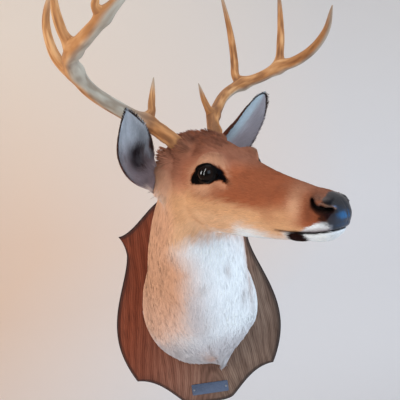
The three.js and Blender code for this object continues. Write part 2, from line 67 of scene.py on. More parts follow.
EYE_RADIUS = 18.4 * MM
EYE_MIDDLE = np.array((-4.0, 46.5, 1.5)) * MM
EYE_GAZE = np.array((0.30, 1.0, 0.08))
PEDICLE_TOP = np.array((-83.0, 51.0, 44.5)) * MM
PEDICLE_AXIS = np.array((-0.63, 0.53, 0.56))

FLESH = ("shoulder", "neck", "head", "muzzle", "lower_jaw", "nose_pad", "ear_left", "ear_right")
BODY = FLESH[:6]  # all but the ears


def to_head(points):
    return (points - HEAD_PLACE) @ HEAD_AXES


def from_head(points):
    return points @ HEAD_AXES.T + HEAD_PLACE


# ---------------------------------------------------------------- small maths


def unit(v):
    return v / np.maximum(np.linalg.norm(v, axis=-1, keepdims=True), 1e-12)


def ramp(x, low, high):
    """A smooth step from 0 at low to 1 at high, whichever is the greater."""
    t = np.clip((x - low) / (high - low), 0.0, 1.0)
    return t * t * (3.0 - 2.0 * t)


def mix(a, b, share):
    share = np.asarray(share)
    if np.ndim(a) > share.ndim or np.ndim(b) > share.ndim:
        share = share[..., None]
    return a + (b - a) * share


def between(first, second, share):
    """One colour or row of values between two for each share."""
    return mix(first[None], second[None], share)


def bell(distance, reach):
    """1 where the distance is nought, fading evenly on both sides of it."""
    return np.exp(-((distance / reach) ** 2))


def blob(points, centre, radii):
    """A soft round mask in millimetres of the head's frame."""
    d = (points / MM - np.array(centre)) / np.array(radii)
    return np.exp(-(d * d).sum(-1))


def lattice(cells, seed):
    """A number from 0 to 1 for each corner of a grid."""
    h = cells.astype(np.int64)
    n = h[..., 0] * 374761393 + h[..., 1] * 668265263 + h[..., 2] * 2147483647 + seed * 974634777
    n = (n ^ (n >> 13)) * 1274126177
    n = n ^ (n >> 16)
    return (n & 0xFFFFFF) / float(0x1000000)


def noise(points, seed=0):
    """Smooth value noise from -1 to 1, one cell per unit."""
    base = np.floor(points)
    f = points - base
    f = f * f * (3.0 - 2.0 * f)
    total = 0.0
    for corner in np.ndindex(2, 2, 2):
        share = 1.0
        for axis in range(3):
            share = share * (f[..., axis] if corner[axis] else 1.0 - f[..., axis])
        total = total + share * lattice(base + np.array(corner), seed)
    return 2.0 * total - 1.0


def layered(points, octaves, seed=0):
    total, size = 0.0, 0.5
    for k in range(octaves):
        total = total + size * noise(points * 2.0**k, seed + k)
        size *= 0.5
    return total


def path_distance(points, path):
    """Distance from each point to a polyline, and the share of the way along it."""
    best = np.full(len(points), 1e9)
    along = np.zeros(len(points))
    path = np.asarray(path, float)
    spans = len(path) - 1
    for i in range(spans):
        a, step = path[i], path[i + 1] - path[i]
        t = np.clip(((points - a) @ step) / (step @ step), 0.0, 1.0)
        d = np.linalg.norm(points - (a + t[:, None] * step), axis=1)
        nearer = d < best
        best = np.where(nearer, d, best)
        along = np.where(nearer, (i + t) / spans, along)
    return best, along


def outline_distance(points, outline):
    """Signed distance in the plane to a closed outline, negative inside."""
    outline = np.asarray(outline, float)
    closed = np.vstack([outline, outline[:1]])
    distance, _ = path_distance(points, closed)
    inside = np.zeros(len(points), bool)
    for a, b in zip(closed[:-1], closed[1:]):
        crosses = (a[1] > points[:, 1]) != (b[1] > points[:, 1])
        rise = (b[1] - a[1]) if b[1] != a[1] else 1e-12
        inside ^= crosses & (points[:, 0] < (b[0] - a[0]) * (points[:, 1] - a[1]) / rise + a[0])
    return np.where(inside, -distance, distance)


def rounded(points):
    """A closed outline with its corners cut twice by Chaikin's rule."""
    p = np.asarray(points, float)
    for _ in range(2):
        q = np.roll(p, -1, axis=0)
        p = np.stack([0.75 * p + 0.25 * q, 0.25 * p + 0.75 * q], axis=1).reshape(-1, p.shape[1])
    return p


def curve_of(pairs, x):
    """A smooth function of one number through a few (place, value) pairs."""
    px, py = np.array(pairs, float).T
    slopes = np.gradient(py, px)
    slopes[1:-1] = (py[2:] - py[:-2]) / (px[2:] - px[:-2])
    x = np.clip(x, px[0], px[-1])
    i = np.clip(np.searchsorted(px, x, "right") - 1, 0, len(px) - 2)
    h = px[i + 1] - px[i]
    t = (x - px[i]) / h
    ends = (2 * t**3 - 3 * t**2 + 1) * py[i] + (3 * t**2 - 2 * t**3) * py[i + 1]
    return ends + ((t**3 - 2 * t**2 + t) * slopes[i] + (t**3 - t**2) * slopes[i + 1]) * h


def distances_along(line):
    """How far along a line of points each of them lies."""
    return np.concatenate([[0], np.cumsum(np.linalg.norm(np.diff(line, axis=0), axis=1))])


def smooth_path(points, count):
    """Evenly spaced points on a smooth curve through a few, and their directions."""
    points = np.asarray(points, float)
    steps = np.sqrt(np.linalg.norm(np.diff(points, axis=0), axis=1))
    knots = np.concatenate([[0], np.cumsum(steps)])
    fine = np.linspace(0, knots[-1], 400)
    dense = np.stack([curve_of(np.stack([knots, c], 1), fine) for c in points.T], 1)
    length = distances_along(dense)
    even = np.linspace(0, length[-1], count)
    line = np.stack([np.interp(even, length, c) for c in dense.T], 1)
    return line, unit(np.gradient(line, axis=0))


def linear(colour):
    """sRGB numbers from 0 to 255 as linear light."""
    c = np.asarray(colour, float) / 255.0
    return np.where(c <= 0.04045, c / 12.92, ((c + 0.055) / 1.055) ** 2.4)


def rgba(*colour):
    return (*linear(colour), 1.0)


# ---------------------------------------------------------------- meshes


def numbers(collection, name, width, kind=np.float32):
    values = np.empty(len(collection) * width, kind)
    collection.foreach_get(name, values)
    return values.reshape(-1, width) if width > 1 else values


def triangles_of(mesh):
    mesh.calc_loop_triangles()
    return numbers(mesh.loop_triangles, "vertices", 3, np.int32)


def make_object(name, points, faces):
    """Faces are an array of triangles or quads, or a list of faces of any size."""
    mesh = bpy.data.meshes.new(name)
    if isinstance(faces, np.ndarray):
        size = faces.shape[1]
        mesh.vertices.add(len(points))
        mesh.vertices.foreach_set("co", np.asarray(points, np.float32).ravel())
        mesh.loops.add(faces.size)
        mesh.loops.foreach_set("vertex_index", faces.astype(np.int32).ravel())
        mesh.polygons.add(len(faces))
        mesh.polygons.foreach_set("loop_start", np.arange(0, faces.size, size, dtype=np.int32))
    else:
        mesh.from_pydata([tuple(p) for p in points], [], faces)
    mesh.update(calc_edges=True)
    mesh.polygons.foreach_set("use_smooth", np.full(len(mesh.polygons), True))
    piece = bpy.data.objects.new(name, mesh)
    bpy.context.scene.collection.objects.link(piece)
    return piece


def joined(meshes):
    """Several pairs of points and faces as one pair."""
    first = np.cumsum([0] + [len(points) for points, _ in meshes[:-1]])
    faces = [f + start for (_, f), start in zip(meshes, first)]
    return np.vstack([points for points, _ in meshes]), np.vstack(faces)


def node_arrays(names):
    """The vertices and triangles of several CAD nodes in one list."""
    meshes = [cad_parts[name].data for name in names]
    return joined([(numbers(mesh.vertices, "co", 3).astype(float), triangles_of(mesh))
                   for mesh in meshes])


def tube_quads(rings, sides):
    """Quads between rings of equal numbers of points, stored ring after ring."""
    start = np.arange(rings - 1)[:, None] * sides
    a = start + np.arange(sides)
    b = start + (np.arange(sides) + 1) % sides
    return np.stack([a, b, b + sides, a + sides], -1).reshape(-1, 4)


def fan(hub, first, sides):
    """Triangles from one point to the ring that starts at another."""
    i = np.arange(sides)
    return np.stack([np.full(sides, hub), first + i, first + (i + 1) % sides], 1)


def set_values(piece, name, values, kind="FLOAT", field="value"):
    """Gives each vertex a value, under the name by which the materials read it."""
    attribute = piece.data.attributes.new(name, kind, "POINT")
    attribute.data.foreach_set(field, np.asarray(values).astype(np.float32).ravel())


def set_colours(piece, name, colours):
    set_values(piece, name, np.c_[colours, np.ones(len(colours))], "FLOAT_COLOR", "color")


def flip_outwards(piece):
    shape = bmesh.new()
    shape.from_mesh(piece.data)
    bmesh.ops.recalc_face_normals(shape, faces=shape.faces)
    shape.to_mesh(piece.data)
    shape.free()


def sharpen(piece, degrees):
    piece.data.set_sharp_from_angle(angle=math.radians(degrees))


def finish_piece(piece, slot, *nodes):
    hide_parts(*nodes)
    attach(piece, "root")


def ball(centre, radii, sides=32):
    """An ellipsoid as vertices and triangles."""
    shape = bmesh.new()
    bmesh.ops.create_uvsphere(shape, u_segments=sides, v_segments=sides // 2, radius=1.0)
    bmesh.ops.triangulate(shape, faces=shape.faces)
    points = np.array([v.co[:] for v in shape.verts]) * np.array(radii) + np.array(centre)
    faces = np.array([[v.index for v in f.verts] for f in shape.faces])
    shape.free()
    return points, faces


def voxel_skin(points, faces, voxel):
    """One closed surface round overlapping solids: its vertices and quads."""
    source = make_object("voxel_source", points, faces)
    remesh = source.modifiers.new("voxels", "REMESH")
    remesh.mode = "VOXEL"
    remesh.voxel_size = voxel
    mesh = bpy.data.meshes.new_from_object(
        source.evaluated_get(bpy.context.evaluated_depsgraph_get())
    )
    points = numbers(mesh.vertices, "co", 3).astype(float)
    quads = numbers(mesh.loops, "vertex_index", 1, np.int32).reshape(-1, 4)
    edges = numbers(mesh.edges, "vertices", 2, np.int32)
    bpy.data.objects.remove(source)
    bpy.data.meshes.remove(mesh)
    return largest_part(points, quads, edges)


def largest_part(points, faces, edges):
    """The part with the most vertices, of those that no edge joins."""
    label = np.arange(len(points))
    while True:
        low = np.minimum(label[edges[:, 0]], label[edges[:, 1]])
        new = label.copy()
        np.minimum.at(new, edges[:, 0], low)
        np.minimum.at(new, edges[:, 1], low)
        new = new[new]
        if np.array_equal(new, label):
            break
        label = new
    kinds, counts = np.unique(label, return_counts=True)
    kept = label == kinds[counts.argmax()]
    place = np.cumsum(kept) - 1
    return points[kept], place[faces[kept[faces[:, 0]]]]


def edges_of(faces):
    size = faces.shape[1]
    pairs = np.vstack([faces[:, [i, (i + 1) % size]] for i in range(size)])
    return np.unique(np.sort(pairs, axis=1), axis=0)


def averaged(values, edges, rounds, share=0.5):
    """Values at the vertices, each moved towards its neighbours' mean, round after round."""
    a, b = edges[:, 0], edges[:, 1]
    count = len(values)
    valence = np.bincount(np.concatenate([a, b]), minlength=count).astype(float)
    flat = values.reshape(count, -1).copy()
    for _ in range(rounds):
        for k in range(flat.shape[1]):
            column = flat[:, k]
            near = np.bincount(a, column[b], count) + np.bincount(b, column[a], count)
            flat[:, k] = column + share * (near / valence - column)
    return flat.reshape(values.shape)


def softened(points, edges, rounds):
    """Smoothing that keeps the broad form: what it takes off is smoothed and put back."""
    soft = averaged(points, edges, rounds)
    return soft + averaged(points - soft, edges, rounds)


def vertex_normals(points, triangles):
    corner = points[triangles]
    face = np.cross(corner[:, 1] - corner[:, 0], corner[:, 2] - corner[:, 0])
    total = np.zeros_like(points)
    for k in range(3):
        for axis in range(3):
            total[:, axis] += np.bincount(triangles[:, k], face[:, axis], len(points))
    return unit(total)


def untangled(points, triangles, rounds=5):
    """Evens out the few places where triangles have folded over."""
    edges = edges_of(triangles)
    for _ in range(rounds):
        corner = points[triangles]
        face = unit(np.cross(corner[:, 1] - corner[:, 0], corner[:, 2] - corner[:, 0]))
        normals = vertex_normals(points, triangles)
        folded = (face[:, None] * normals[triangles]).sum(2).min(1) < 0.1
        caught = np.zeros(len(points), bool)
        caught[triangles[folded].ravel()] = True
        points = np.where(caught[:, None], averaged(points, edges, 2), points)
    return points


def split_quads(quads):
    return np.vstack([quads[:, [0, 1, 2]], quads[:, [0, 2, 3]]])


def refined(points, triangles, chosen):
    """Cuts the chosen triangles in four, and their neighbours so that no gap is left."""
    sides = np.vstack([triangles[:, [0, 1]], triangles[:, [1, 2]], triangles[:, [2, 0]]])
    ordered = np.sort(sides, axis=1)
    edges, index = np.unique(ordered, axis=0, return_inverse=True)
    index = index.reshape(3, -1).T
    cut = np.zeros(len(edges), bool)
    cut[index[chosen].ravel()] = True
    while True:
        twice = cut[index].sum(1) == 2
        if not twice.any():
            break
        cut[index[twice].ravel()] = True
    middle = np.full(len(edges), -1)
    middle[cut] = len(points) + np.arange(cut.sum())
    points = np.vstack([points, points[edges[cut]].mean(1)])
    m = middle[index]
    whole = (m >= 0).all(1)
    none = (m < 0).all(1)
    t, c = triangles[whole], m[whole]
    pieces = [
        triangles[none],
        np.stack([t[:, 0], c[:, 0], c[:, 2]], 1),
        np.stack([c[:, 0], t[:, 1], c[:, 1]], 1),
        np.stack([c[:, 2], c[:, 1], t[:, 2]], 1),
        c,
    ]
    for k in range(3):
        only = (m[:, k] >= 0) & ~whole
        t, c = triangles[only], m[only, k]
        a, b, other = t[:, k], t[:, (k + 1) % 3], t[:, (k + 2) % 3]
        pieces += [np.stack([a, c, other], 1), np.stack([c, b, other], 1)]
    return points, np.vstack(pieces)


# ---------------------------------------------------------------- the skin's form

SKIN_VOXEL = 2.2 * MM

# The eye's opening on the ball: millimetres forward and up from the middle of the gaze.
LID_OUTLINE = rounded(
    [(-21, -11), (-20.5, -4), (-16, 4), (-8, 10.5), (2, 14), (11, 13.5), (18, 8), (20.5, 1),
     (16, -4), (6, -9), (-6, -11.5), (-15, -12.5)])
# Seen from the side of the head, in millimetres ahead of and above the middle of the eyes: the
# dark skin round the lids, and the tear duct that runs down from its front corner.
DARK_LIDS = rounded(
    [(-34, -19), (-35, -10), (-30, -1), (-21, 6.5), (-11, 12.5), (-1, 16), (8, 16), (15, 11.5),
     (20, 5.5), (25, -1), (30, -6.5), (32, -10), (28, -11), (21, -7), (14, -7.5), (6, -12),
     (-3, -14.5), (-13, -17), (-23, -19)])
TEAR_DUCT = np.array([(15, 1.5), (21, -2), (27, -6), (32, -10)]) * MM
# The nostril's slit, the way it goes in, and the height of the mouth's line at places along x.
NOSTRIL = np.array([(168.5, 31, -18.5), (171, 31, -23), (176, 30, -26), (184, 27, -27),
                    (191, 20, -25.5)]) * MM
NOSTRIL_INWARD = np.array((-0.55, -0.83, 0.1))
MOUTH_HEIGHTS = ([100, 106, 128, 149, 172, 196, 206], [-69.5, -70, -68.5, -65.5, -60, -53, -50])
MOUTH_CORNER_X = 106


def mirrored(head):
    """Points of either half of the head as if on the deer's left."""
    return head * np.array((1.0, 0.0, 1.0)) + np.abs(head[:, 1:2]) * np.array((0.0, 1.0, 0.0))


def eye_axes():
    gaze = unit(EYE_GAZE)
    ahead = unit(np.array((1.0, 0, 0)) - gaze * gaze[0])
    return ahead, gaze, np.cross(gaze, ahead) * -1.0


def lid_coordinates(half):
    """Millimetres forward and up over the eyeball, distance from its middle, and if in front."""
    ahead, gaze, up = eye_axes()
    d = half - EYE_MIDDLE
    reach = np.linalg.norm(d, axis=1)
    a = np.arctan2(d @ ahead, d @ gaze) * EYE_RADIUS / MM
    b = np.arcsin(np.clip(d @ up / np.maximum(reach, 1e-9), -1, 1)) * EYE_RADIUS / MM
    return np.stack([a, b], 1), reach, (d @ gaze) > 0


def lid_distance(half):
    """Millimetres outside the edge of the lids, large away from the eye."""
    place, reach, facing = lid_coordinates(half)
    near = facing & (reach < 45 * MM)
    distance = np.full(len(half), 99.0)
    distance[near] = outline_distance(place[near], LID_OUTLINE)
    return distance


def nostril_width(along):
    return np.interp(along, [0, 0.25, 0.6, 1.0], [1.8, 2.8, 3.3, 2.0]) * MM


def nostril_distance(half):
    """Metres from the nostril's slit, however deep in it, and the share of the way along."""
    inward = unit(NOSTRIL_INWARD)
    flat = half - np.outer(half @ inward, inward)
    line = NOSTRIL - np.outer(NOSTRIL @ inward, inward)
    distance, along = path_distance(flat, line)
    return np.where(half[:, 0] > 0.13, distance, 1.0), along


def duct_distance(half):
    """Metres from the tear duct seen from the side, and the share of the way along."""
    return path_distance(half[:, [0, 2]], TEAR_DUCT)


def dark_lid_distance(half):
    """Millimetres outside the dark skin round the eye, negative on it."""
    distance = np.full(len(half), 99.0)
    near = (half[:, 1] > 0.03) & (np.linalg.norm(half - EYE_MIDDLE, axis=1) < 0.09)
    distance[near] = outline_distance(half[near][:, [0, 2]] / MM, DARK_LIDS)
    return distance


def pedicle_depth(half):
    """How far below the antler's seat a point lies along the pedicle, and how far off it."""
    axis = unit(PEDICLE_AXIS)
    d = half - PEDICLE_TOP
    depth = -(d @ axis)
    off = d + np.outer(depth, axis)
    return depth, off


def stump_share(half, deep, wide):
    """1 by the antler's seat, falling to 0 over a range of depths and one of widths in mm."""
    depth, off = pedicle_depth(half)
    within = 1 - ramp(np.linalg.norm(off, axis=1), *(np.array(wide) * MM))
    return (1 - ramp(depth, *(np.array(deep) * MM))) * within


def mouth_height(x):
    return np.interp(x / MM, *MOUTH_HEIGHTS) * MM


# Rounded masses that fill the form on each side, as middles and radii in millimetres of the
# head's frame: the eyeball and its socket, two at the ear's root, and one between it and the
# antler.
FILLS = (
    (EYE_MIDDLE / MM, (18.5, 18.5, 18.5)),
    ((-3, 46, 1), (24.0, 14.0, 18.0)),
    ((-106, 44, -34), (22.0, 22.0, 26.0)),
    ((-102, 54, -8), (14.0, 13.0, 18.0)),
    ((-94, 47, 10), (15.0, 17.0, 18.0)),
)


def skin_points():
    """The flesh nodes as one surface, with its head still plain."""
    meshes = [node_arrays(BODY)]
    for side in (-1, 1):
        for centre, radii in FILLS:
            points, faces = ball(np.array(centre) * (1, side, 1) * MM, np.array(radii) * MM)
            meshes.append((from_head(points), faces))
    return voxel_skin(*joined(meshes), SKIN_VOXEL)


def neck_share(head):
    """0 on the head, 1 on the neck."""
    return 1 - ramp(head[:, 0] + 0.35 * head[:, 2], -130 * MM, -80 * MM)


def smooth_skin(points, edges):
    head = to_head(points)
    fine = softened(points, edges, 3)
    medium = softened(points, edges, 14)
    broad = softened(points, edges, 120)
    nose = ramp(head[:, 0], 150 * MM, 175 * MM)
    foot = np.clip(1.5 * blob(mirrored(head), (-106, 62, -30), (26, 30, 34)), 0, 1)
    neck = np.maximum(neck_share(head), foot)
    return mix(mix(medium, fine, nose), broad, neck)


# What stands out from the plain face or sinks into it: millimetres, middle and radii. They are
# the brow, the hollows ahead of the eye and behind it, the bone under the eye, the hollows of the
# cheek and muzzle, the jaw muscle, the hollow behind it, and the dip between the eyes.
FACE_PLANES = (
    (2.2, (6, 44, 24), (22, 14, 8)),
    (-2.2, (38, 34, 6), (16, 16, 12)),
    (-2.0, (-36, 50, 8), (12, 16, 16)),
    (1.6, (10, 46, -26), (34, 16, 8)),
    (-2.4, (72, 34, -50), (26, 20, 16)),
    (-1.6, (118, 26, -28), (24, 14, 12)),
    (1.5, (-22, 48, -52), (30, 20, 30)),
    (-1.8, (-78, 44, -44), (14, 22, 30)),
    (-1.2, (30, 0, 24), (40, 10, 12)),
)
# The dip between the antlers and the swelling before each, the lower lip, the wing above each
# nostril and the rim under it.
CROWN_AND_NOSE = (
    (-2.6, (-62, 0, 62), (34, 20, 22)),
    (3.0, (-66, 32, 50), (16, 12, 16)),
    (2.4, (137, 18, -80), (15, 16, 9)),
    (2.6, (176, 26, -13), (14, 12, 6)),
    (1.4, (170, 28, -32), (14, 12, 7)),
)


def face_lift(head, half):
    """Millimetres that the face's planes, nose, lips and tear duct stand out, before the lids."""
    x, y, z = (half / MM).T
    lift = np.zeros(len(half))
    for height, centre, radii in FACE_PLANES:
        lift += height * blob(half, centre, radii)
    crown = ramp(z - 0.1 * x, 34, 46) * ramp(-x, 22, 44) * (1 - ramp(-x, 110, 130))
    lift += 4.2 * layered(head / (17 * MM), 2, 71) * crown
    for height, centre, radii in CROWN_AND_NOSE:
        lift += height * blob(half, centre, radii)
    # A groove down the middle of the nose, and a dip behind the pad.
    lift -= 0.5 * bell(y, 2.2) * ramp(x, 190, 200) * ramp(z, -48, -40)
    lift -= 1.0 * blob(half, (150, 18, -4), (12, 20, 8))
    # Lips: a fold each side of the mouth line, and the chin.
    below = z - mouth_height(half[:, 0]) / MM
    on_mouth = ramp(x, MOUTH_CORNER_X - 2, MOUTH_CORNER_X + 6)
    lift += on_mouth * (1.3 * bell(below - 4, 3.4))
    lift += on_mouth * (1.0 * bell(below + 4.5, 3.6))
    lift -= on_mouth * 3.4 * bell(below, 1.05)
    lift += 1.2 * blob(half, (186, 0, -68), (12, 18, 6))
    away, along = duct_distance(half)
    lift -= 2.6 * bell(away, mix(3.0, 1.8, along) * MM) * ramp(y, 25, 32)
    return lift


def drawn_in(moved):
    """Draws the pedicle's end in under the antler's base."""
    depth, off = pedicle_depth(moved)
    on_end = stump_share(moved, (12, 24), (22, 26)) * ramp(depth, -12 * MM, -8 * MM)
    return moved - off * (0.42 * on_end)[:, None]


def nostril_sunk(moved, half, half_out):
    """Sinks the nostrils, with a raised rim round them."""
    away, along = nostril_distance(half)
    width = nostril_width(along)
    depth = 1 - ramp(away, 0.5 * width, 1.1 * width)
    rim = bell(away - 1.5 * width, 1.5 * MM)
    moved = moved + unit(NOSTRIL_INWARD) * (depth * 9.0 * MM)[:, None]
    return moved + half_out * (rim * 0.9 * MM)[:, None]


def lids_closed(moved):
    """Closes the skin on the eyeball, proud of it along the lid's edge and with a fold beyond;
    inside the opening the skin falls back behind the ball."""
    place, reach, facing = lid_coordinates(moved)
    near = np.flatnonzero(facing & (reach < 46 * MM))
    edge = outline_distance(place[near], LID_OUTLINE)
    ball_mm = EYE_RADIUS / MM
    upper = ramp(place[near, 1], -6, 4)
    thickness = mix(1.0, 2.1, upper)
    wall = mix(ball_mm - 3.5, ball_mm + 0.5, ramp(edge, -1.6, 0.1))
    lid = mix(wall, ball_mm + thickness, ramp(edge, 0.0, 1.3))
    fold = 1.0 * bell(edge - 6.5, 1.4) * upper
    fold += 0.25 * bell(edge - 5.5, 1.2) * (1 - upper)
    surface = mix(lid, reach[near] / MM, ramp(edge, 2.0, 13.0)) - fold
    direction = (moved[near] - EYE_MIDDLE) / reach[near, None]
    moved[near] = EYE_MIDDLE + direction * (surface * MM)[:, None]
    return moved


def sculpt(points, normals):
    """Lids, tear duct, nostrils, mouth and the planes of the face."""
    head = to_head(points)
    half = mirrored(head)
    side = np.where(head[:, 1] < 0, -1.0, 1.0)[:, None] * np.array((0, 1, 0)) + np.array((1, 0, 1))
    half_out = normals @ HEAD_AXES * side
    moved = half + half_out * face_lift(head, half)[:, None] * MM
    moved = nostril_sunk(drawn_in(moved), half, half_out)
    return from_head(lids_closed(moved) * side)


def coat_depth(half, neck):
    """Millimetres from the skin to the outside of the coat."""
    depth = mix(1.1, 2.2, 1 - ramp(half[:, 0], -60 * MM, 40 * MM))
    depth = mix(depth, 4.5, neck)
    depth = mix(depth, 0.3, ramp(half[:, 0], 150 * MM, 172 * MM))
    return depth * ramp(lid_distance(half), 2.0, 12.0)


REFINED_WITHIN = (9.0, 4.5)  # millimetres from lids, nostrils and mouth, for each round of cuts


def fine_places(half, reach):
    """True at the vertices where the sculpting needs smaller triangles."""
    edge = lid_distance(half)
    duct, _ = duct_distance(half)
    duct[half[:, 1] < 0.025] = 1.0
    nostril, _ = nostril_distance(half)
    below = np.abs(half[:, 2] - mouth_height(half[:, 0]))
    near = (edge < reach) & (edge > -7)
    near |= (duct < reach * 0.7 * MM) | (nostril < (reach + 3) * MM)
    near |= np.abs(dark_lid_distance(half)) < reach * 0.5
    near |= (below < reach * 0.6 * MM) & (half[:, 0] > 98 * MM)
    if reach == REFINED_WITHIN[0]:
        near |= half[:, 0] > 160 * MM
    return near


def build_skin():
    points, quads = skin_points()
    points = smooth_skin(points, edges_of(quads))
    triangles = split_quads(quads)
    for reach in REFINED_WITHIN:
        fine = fine_places(mirrored(to_head(points)), reach)
        points, triangles = refined(points, triangles, fine[triangles].any(1))
        points = softened(points, edges_of(triangles), 2)
    normals = vertex_normals(points, triangles)
    points = sculpt(points, normals)
    normals = vertex_normals(points, triangles)
    head = to_head(points)
    depth = coat_depth(mirrored(head), neck_share(head))
    points = points - normals * (depth * MM)[:, None]
    return untangled(points, triangles), triangles


# ---------------------------------------------------------------- ears

# The ear's middle line from root to tip in the head's frame, and half its width by the share of
# the way along: all in millimetres.
EAR_SPINE = [(-108, 62, -28), (-98, 90, -5), (-80, 118, 30), (-66, 136, 66), (-56, 150, 99)]
EAR_WIDTH_RIGHT = [(0, 17), (0.15, 22), (0.35, 29), (0.55, 30.5), (0.75, 24), (0.9, 13), (1, 2)]
EAR_WIDTH_LEFT = [(0, 21), (0.15, 27), (0.35, 35), (0.55, 38), (0.75, 34), (0.9, 24), (0.97, 14),
                  (1, 5)]
# Which side the ear is on, how far it opens outwards, how much its tip and root are raised, how
# far the tip leans out, and its widths.
EARS = {
    "ear_right": {"side": -1, "outward": 0.2, "tip": -4, "root": 6, "splay": 6,
                  "widths": EAR_WIDTH_RIGHT},
    "ear_left": {"side": 1, "outward": 0.16, "tip": 8, "root": 0, "splay": -3,
                 "widths": EAR_WIDTH_LEFT},
}
EAR_SHADE = {"ear_right": 1.0, "ear_left": 0.3}  # how dark the painted shade in the hollow is; the less of it, the more painted light on the inner edge
EAR_CUP = [(0, 13), (0.2, 24), (0.45, 18.5), (0.75, 9.5), (1, 1)]  # how deep the hollow is
EAR_WALL = [(0, 5), (0.3, 3.2), (1, 1.6)]  # how thick the ear is
EAR_RINGS = 84
EAR_ARC = 26
EAR_HOLLOW = 0.22  # how far inwards of the ear's middle its hollow lies, as a share of its half


def ear_surface(side, outward, tip, root, splay, widths):
    """The ear as a thin cup: vertices, triangles and, for each vertex, how the coat lies on it."""
    lift = np.linspace(root, tip, len(EAR_SPINE))
    spine = np.array(EAR_SPINE, float) * (1, side, 1) + np.outer(lift, (0, 0, 1))
    spine += np.outer(np.linspace(0, splay, len(EAR_SPINE)), (0, side, 0))
    spine = np.vstack([spine[0] - (spine[1] - spine[0]) * 0.75, spine])
    line, ahead = smooth_path(spine, EAR_RINGS)
    knots = distances_along(spine)
    start = knots[1] / knots[-1]
    t = (np.linspace(0, 1, EAR_RINGS) - start) / (1 - start)
    opening = unit(np.array((0.95, side * outward, 0.05)))
    facing = unit(opening - ahead * (ahead @ opening)[:, None])
    across = np.cross(facing, ahead)
    width = curve_of(widths, t)
    cup = curve_of(EAR_CUP, t)
    wall = curve_of(EAR_WALL, t)
    fill = 1 - ramp(t, -0.02, 0.24)

    angle = np.linspace(-math.pi / 2, math.pi / 2, EAR_ARC)
    ridges = sum(bell(np.degrees(angle) - k, 9.0) for k in (-48, -14, 22))
    ridge_fade = ramp(t, 0.1, 0.25) * (1 - ramp(t, 0.5, 0.72))

    def arc(turn, reach, depth):
        sideways = across[:, None] * (reach[:, None] * np.sin(turn))[..., None]
        return line[:, None] + sideways - facing[:, None] * (depth * np.cos(turn))[..., None]

    depth = cup[:, None] * (1 - fill)[:, None] - 1.3 * ridges * ridge_fade[:, None]
    inner = arc(angle, width - 0.6, depth)
    back = cup[:, None] + wall[:, None] * (0.4 + 0.6 * np.cos(angle))
    outer = arc(angle, width + 0.2, back) - facing[:, None] * 0.7
    rim_size = 0.45 * wall[:, None]
    rim_right = (inner[:, -1] + outer[:, -1]) / 2 + across * rim_size
    rim_left = (inner[:, 0] + outer[:, 0]) / 2 - across * rim_size
    ring = np.concatenate([inner, rim_right[:, None], outer[:, ::-1], rim_left[:, None]], axis=1)
    count = ring.shape[1]
    hub, last = EAR_RINGS * count, (EAR_RINGS - 1) * count
    points = np.vstack([ring.reshape(-1, 3), ring[0].mean(0), ring[-1].mean(0)])
    faces = np.vstack([split_quads(tube_quads(EAR_RINGS, count)), fan(hub, 0, count)[:, [0, 2, 1]],
                       fan(hub + 1, last, count)])
    a, b, c = (points[faces[:, k]] for k in range(3))
    if np.einsum("ij,ij->i", a, np.cross(b, c)).sum() < 0:
        faces = faces[:, ::-1]

    return points * MM, faces, ear_values(ring, t, angle, ahead, across)


def ear_values(ring, t, angle, ahead, across):
    """For each vertex: how far along and round the ear, on which face, and its directions."""
    count = ring.shape[1]
    halfway = ring[EAR_RINGS // 2]
    outer_side = np.sign(abs(halfway[EAR_ARC - 1, 1]) - abs(halfway[0, 1]))
    turn = np.concatenate([angle, [math.pi / 2], angle[::-1], [-math.pi / 2]]) / (math.pi / 2)
    inside = np.concatenate([np.ones(EAR_ARC), [0.0], np.zeros(EAR_ARC), [0.0]])
    grid = {
        "along": np.repeat(t[:, None], count, 1),
        "turn": np.repeat(turn[None], EAR_RINGS, 0),
        "outwards": np.repeat(turn[None] * outer_side, EAR_RINGS, 0),
        "inside": np.repeat(inside[None], EAR_RINGS, 0) * ramp(t, 0.02, 0.2)[:, None],
        "ahead": np.repeat(ahead[:, None], count, 1),
        "across": np.repeat(across[:, None], count, 1),
    }
    flat = {}
    for key, value in grid.items():
        value = value.reshape(EAR_RINGS * count, -1)
        flat[key] = np.vstack([value, value[:1], value[-1:]]).squeeze()
    return flat


# ---------------------------------------------------------------- markings

RUST = linear((156, 90, 61))
DARK_RUST = linear((120, 70, 50))
CROWN_BROWN = linear((112, 68, 52))
CROWN_DARK = linear((66, 42, 34))
BROW_RUST = linear((104, 54, 38))
CROWN_SIDE = linear((150, 101, 79))
TEMPLE = linear((190, 130, 105))
FACE_GREY = linear((166, 118, 98))
BUFF = linear((207, 162, 131))
TAN = linear((210, 164, 124))
FAWN = linear((216, 174, 138))
NECK_TAN = linear((208, 160, 130))
NECK_PALE = linear((216, 176, 154))
# A lilac grey for painted shade on the white of the throat and the lip.
LILAC_SHADE = linear((174, 169, 175))
# Its blue tint is painted cool window light.
WHITE = linear((234, 244, 252))
ASH = linear((136, 112, 100))
BLACK = linear((18, 15, 15))
NOSE_BLACK = linear((20, 21, 26))
LIP_DARK = linear((30, 14, 12))
# The pale inside of the ears is tinted blue by painted cool window light.
EAR_PALE = linear((164, 174, 186))
EAR_GREY = linear((112, 102, 106))
EAR_LILAC = linear((144, 132, 138))
EAR_EDGE_LIGHT = linear((182, 208, 222))
EAR_DARK = linear((34, 27, 29))
EAR_FOOT = linear((198, 180, 174))
EAR_BACK = linear((118, 66, 48))
EAR_RIM = linear((56, 44, 40))
LID_BLACK = linear((8, 6, 6))


def nose_share(half):
    """1 on the bare pad of the nose."""
    x, y, z = (half / MM).T
    ahead = (x - 175) * 0.95 + (z + 9) * 0.34 - 0.10 * y + 2.2 * noise(half / (5 * MM), 19)
    share = ramp(ahead, -2.5, 2.5)
    return share * ramp(z - mouth_height(half[:, 0]) / MM, 0.5, 2.5)


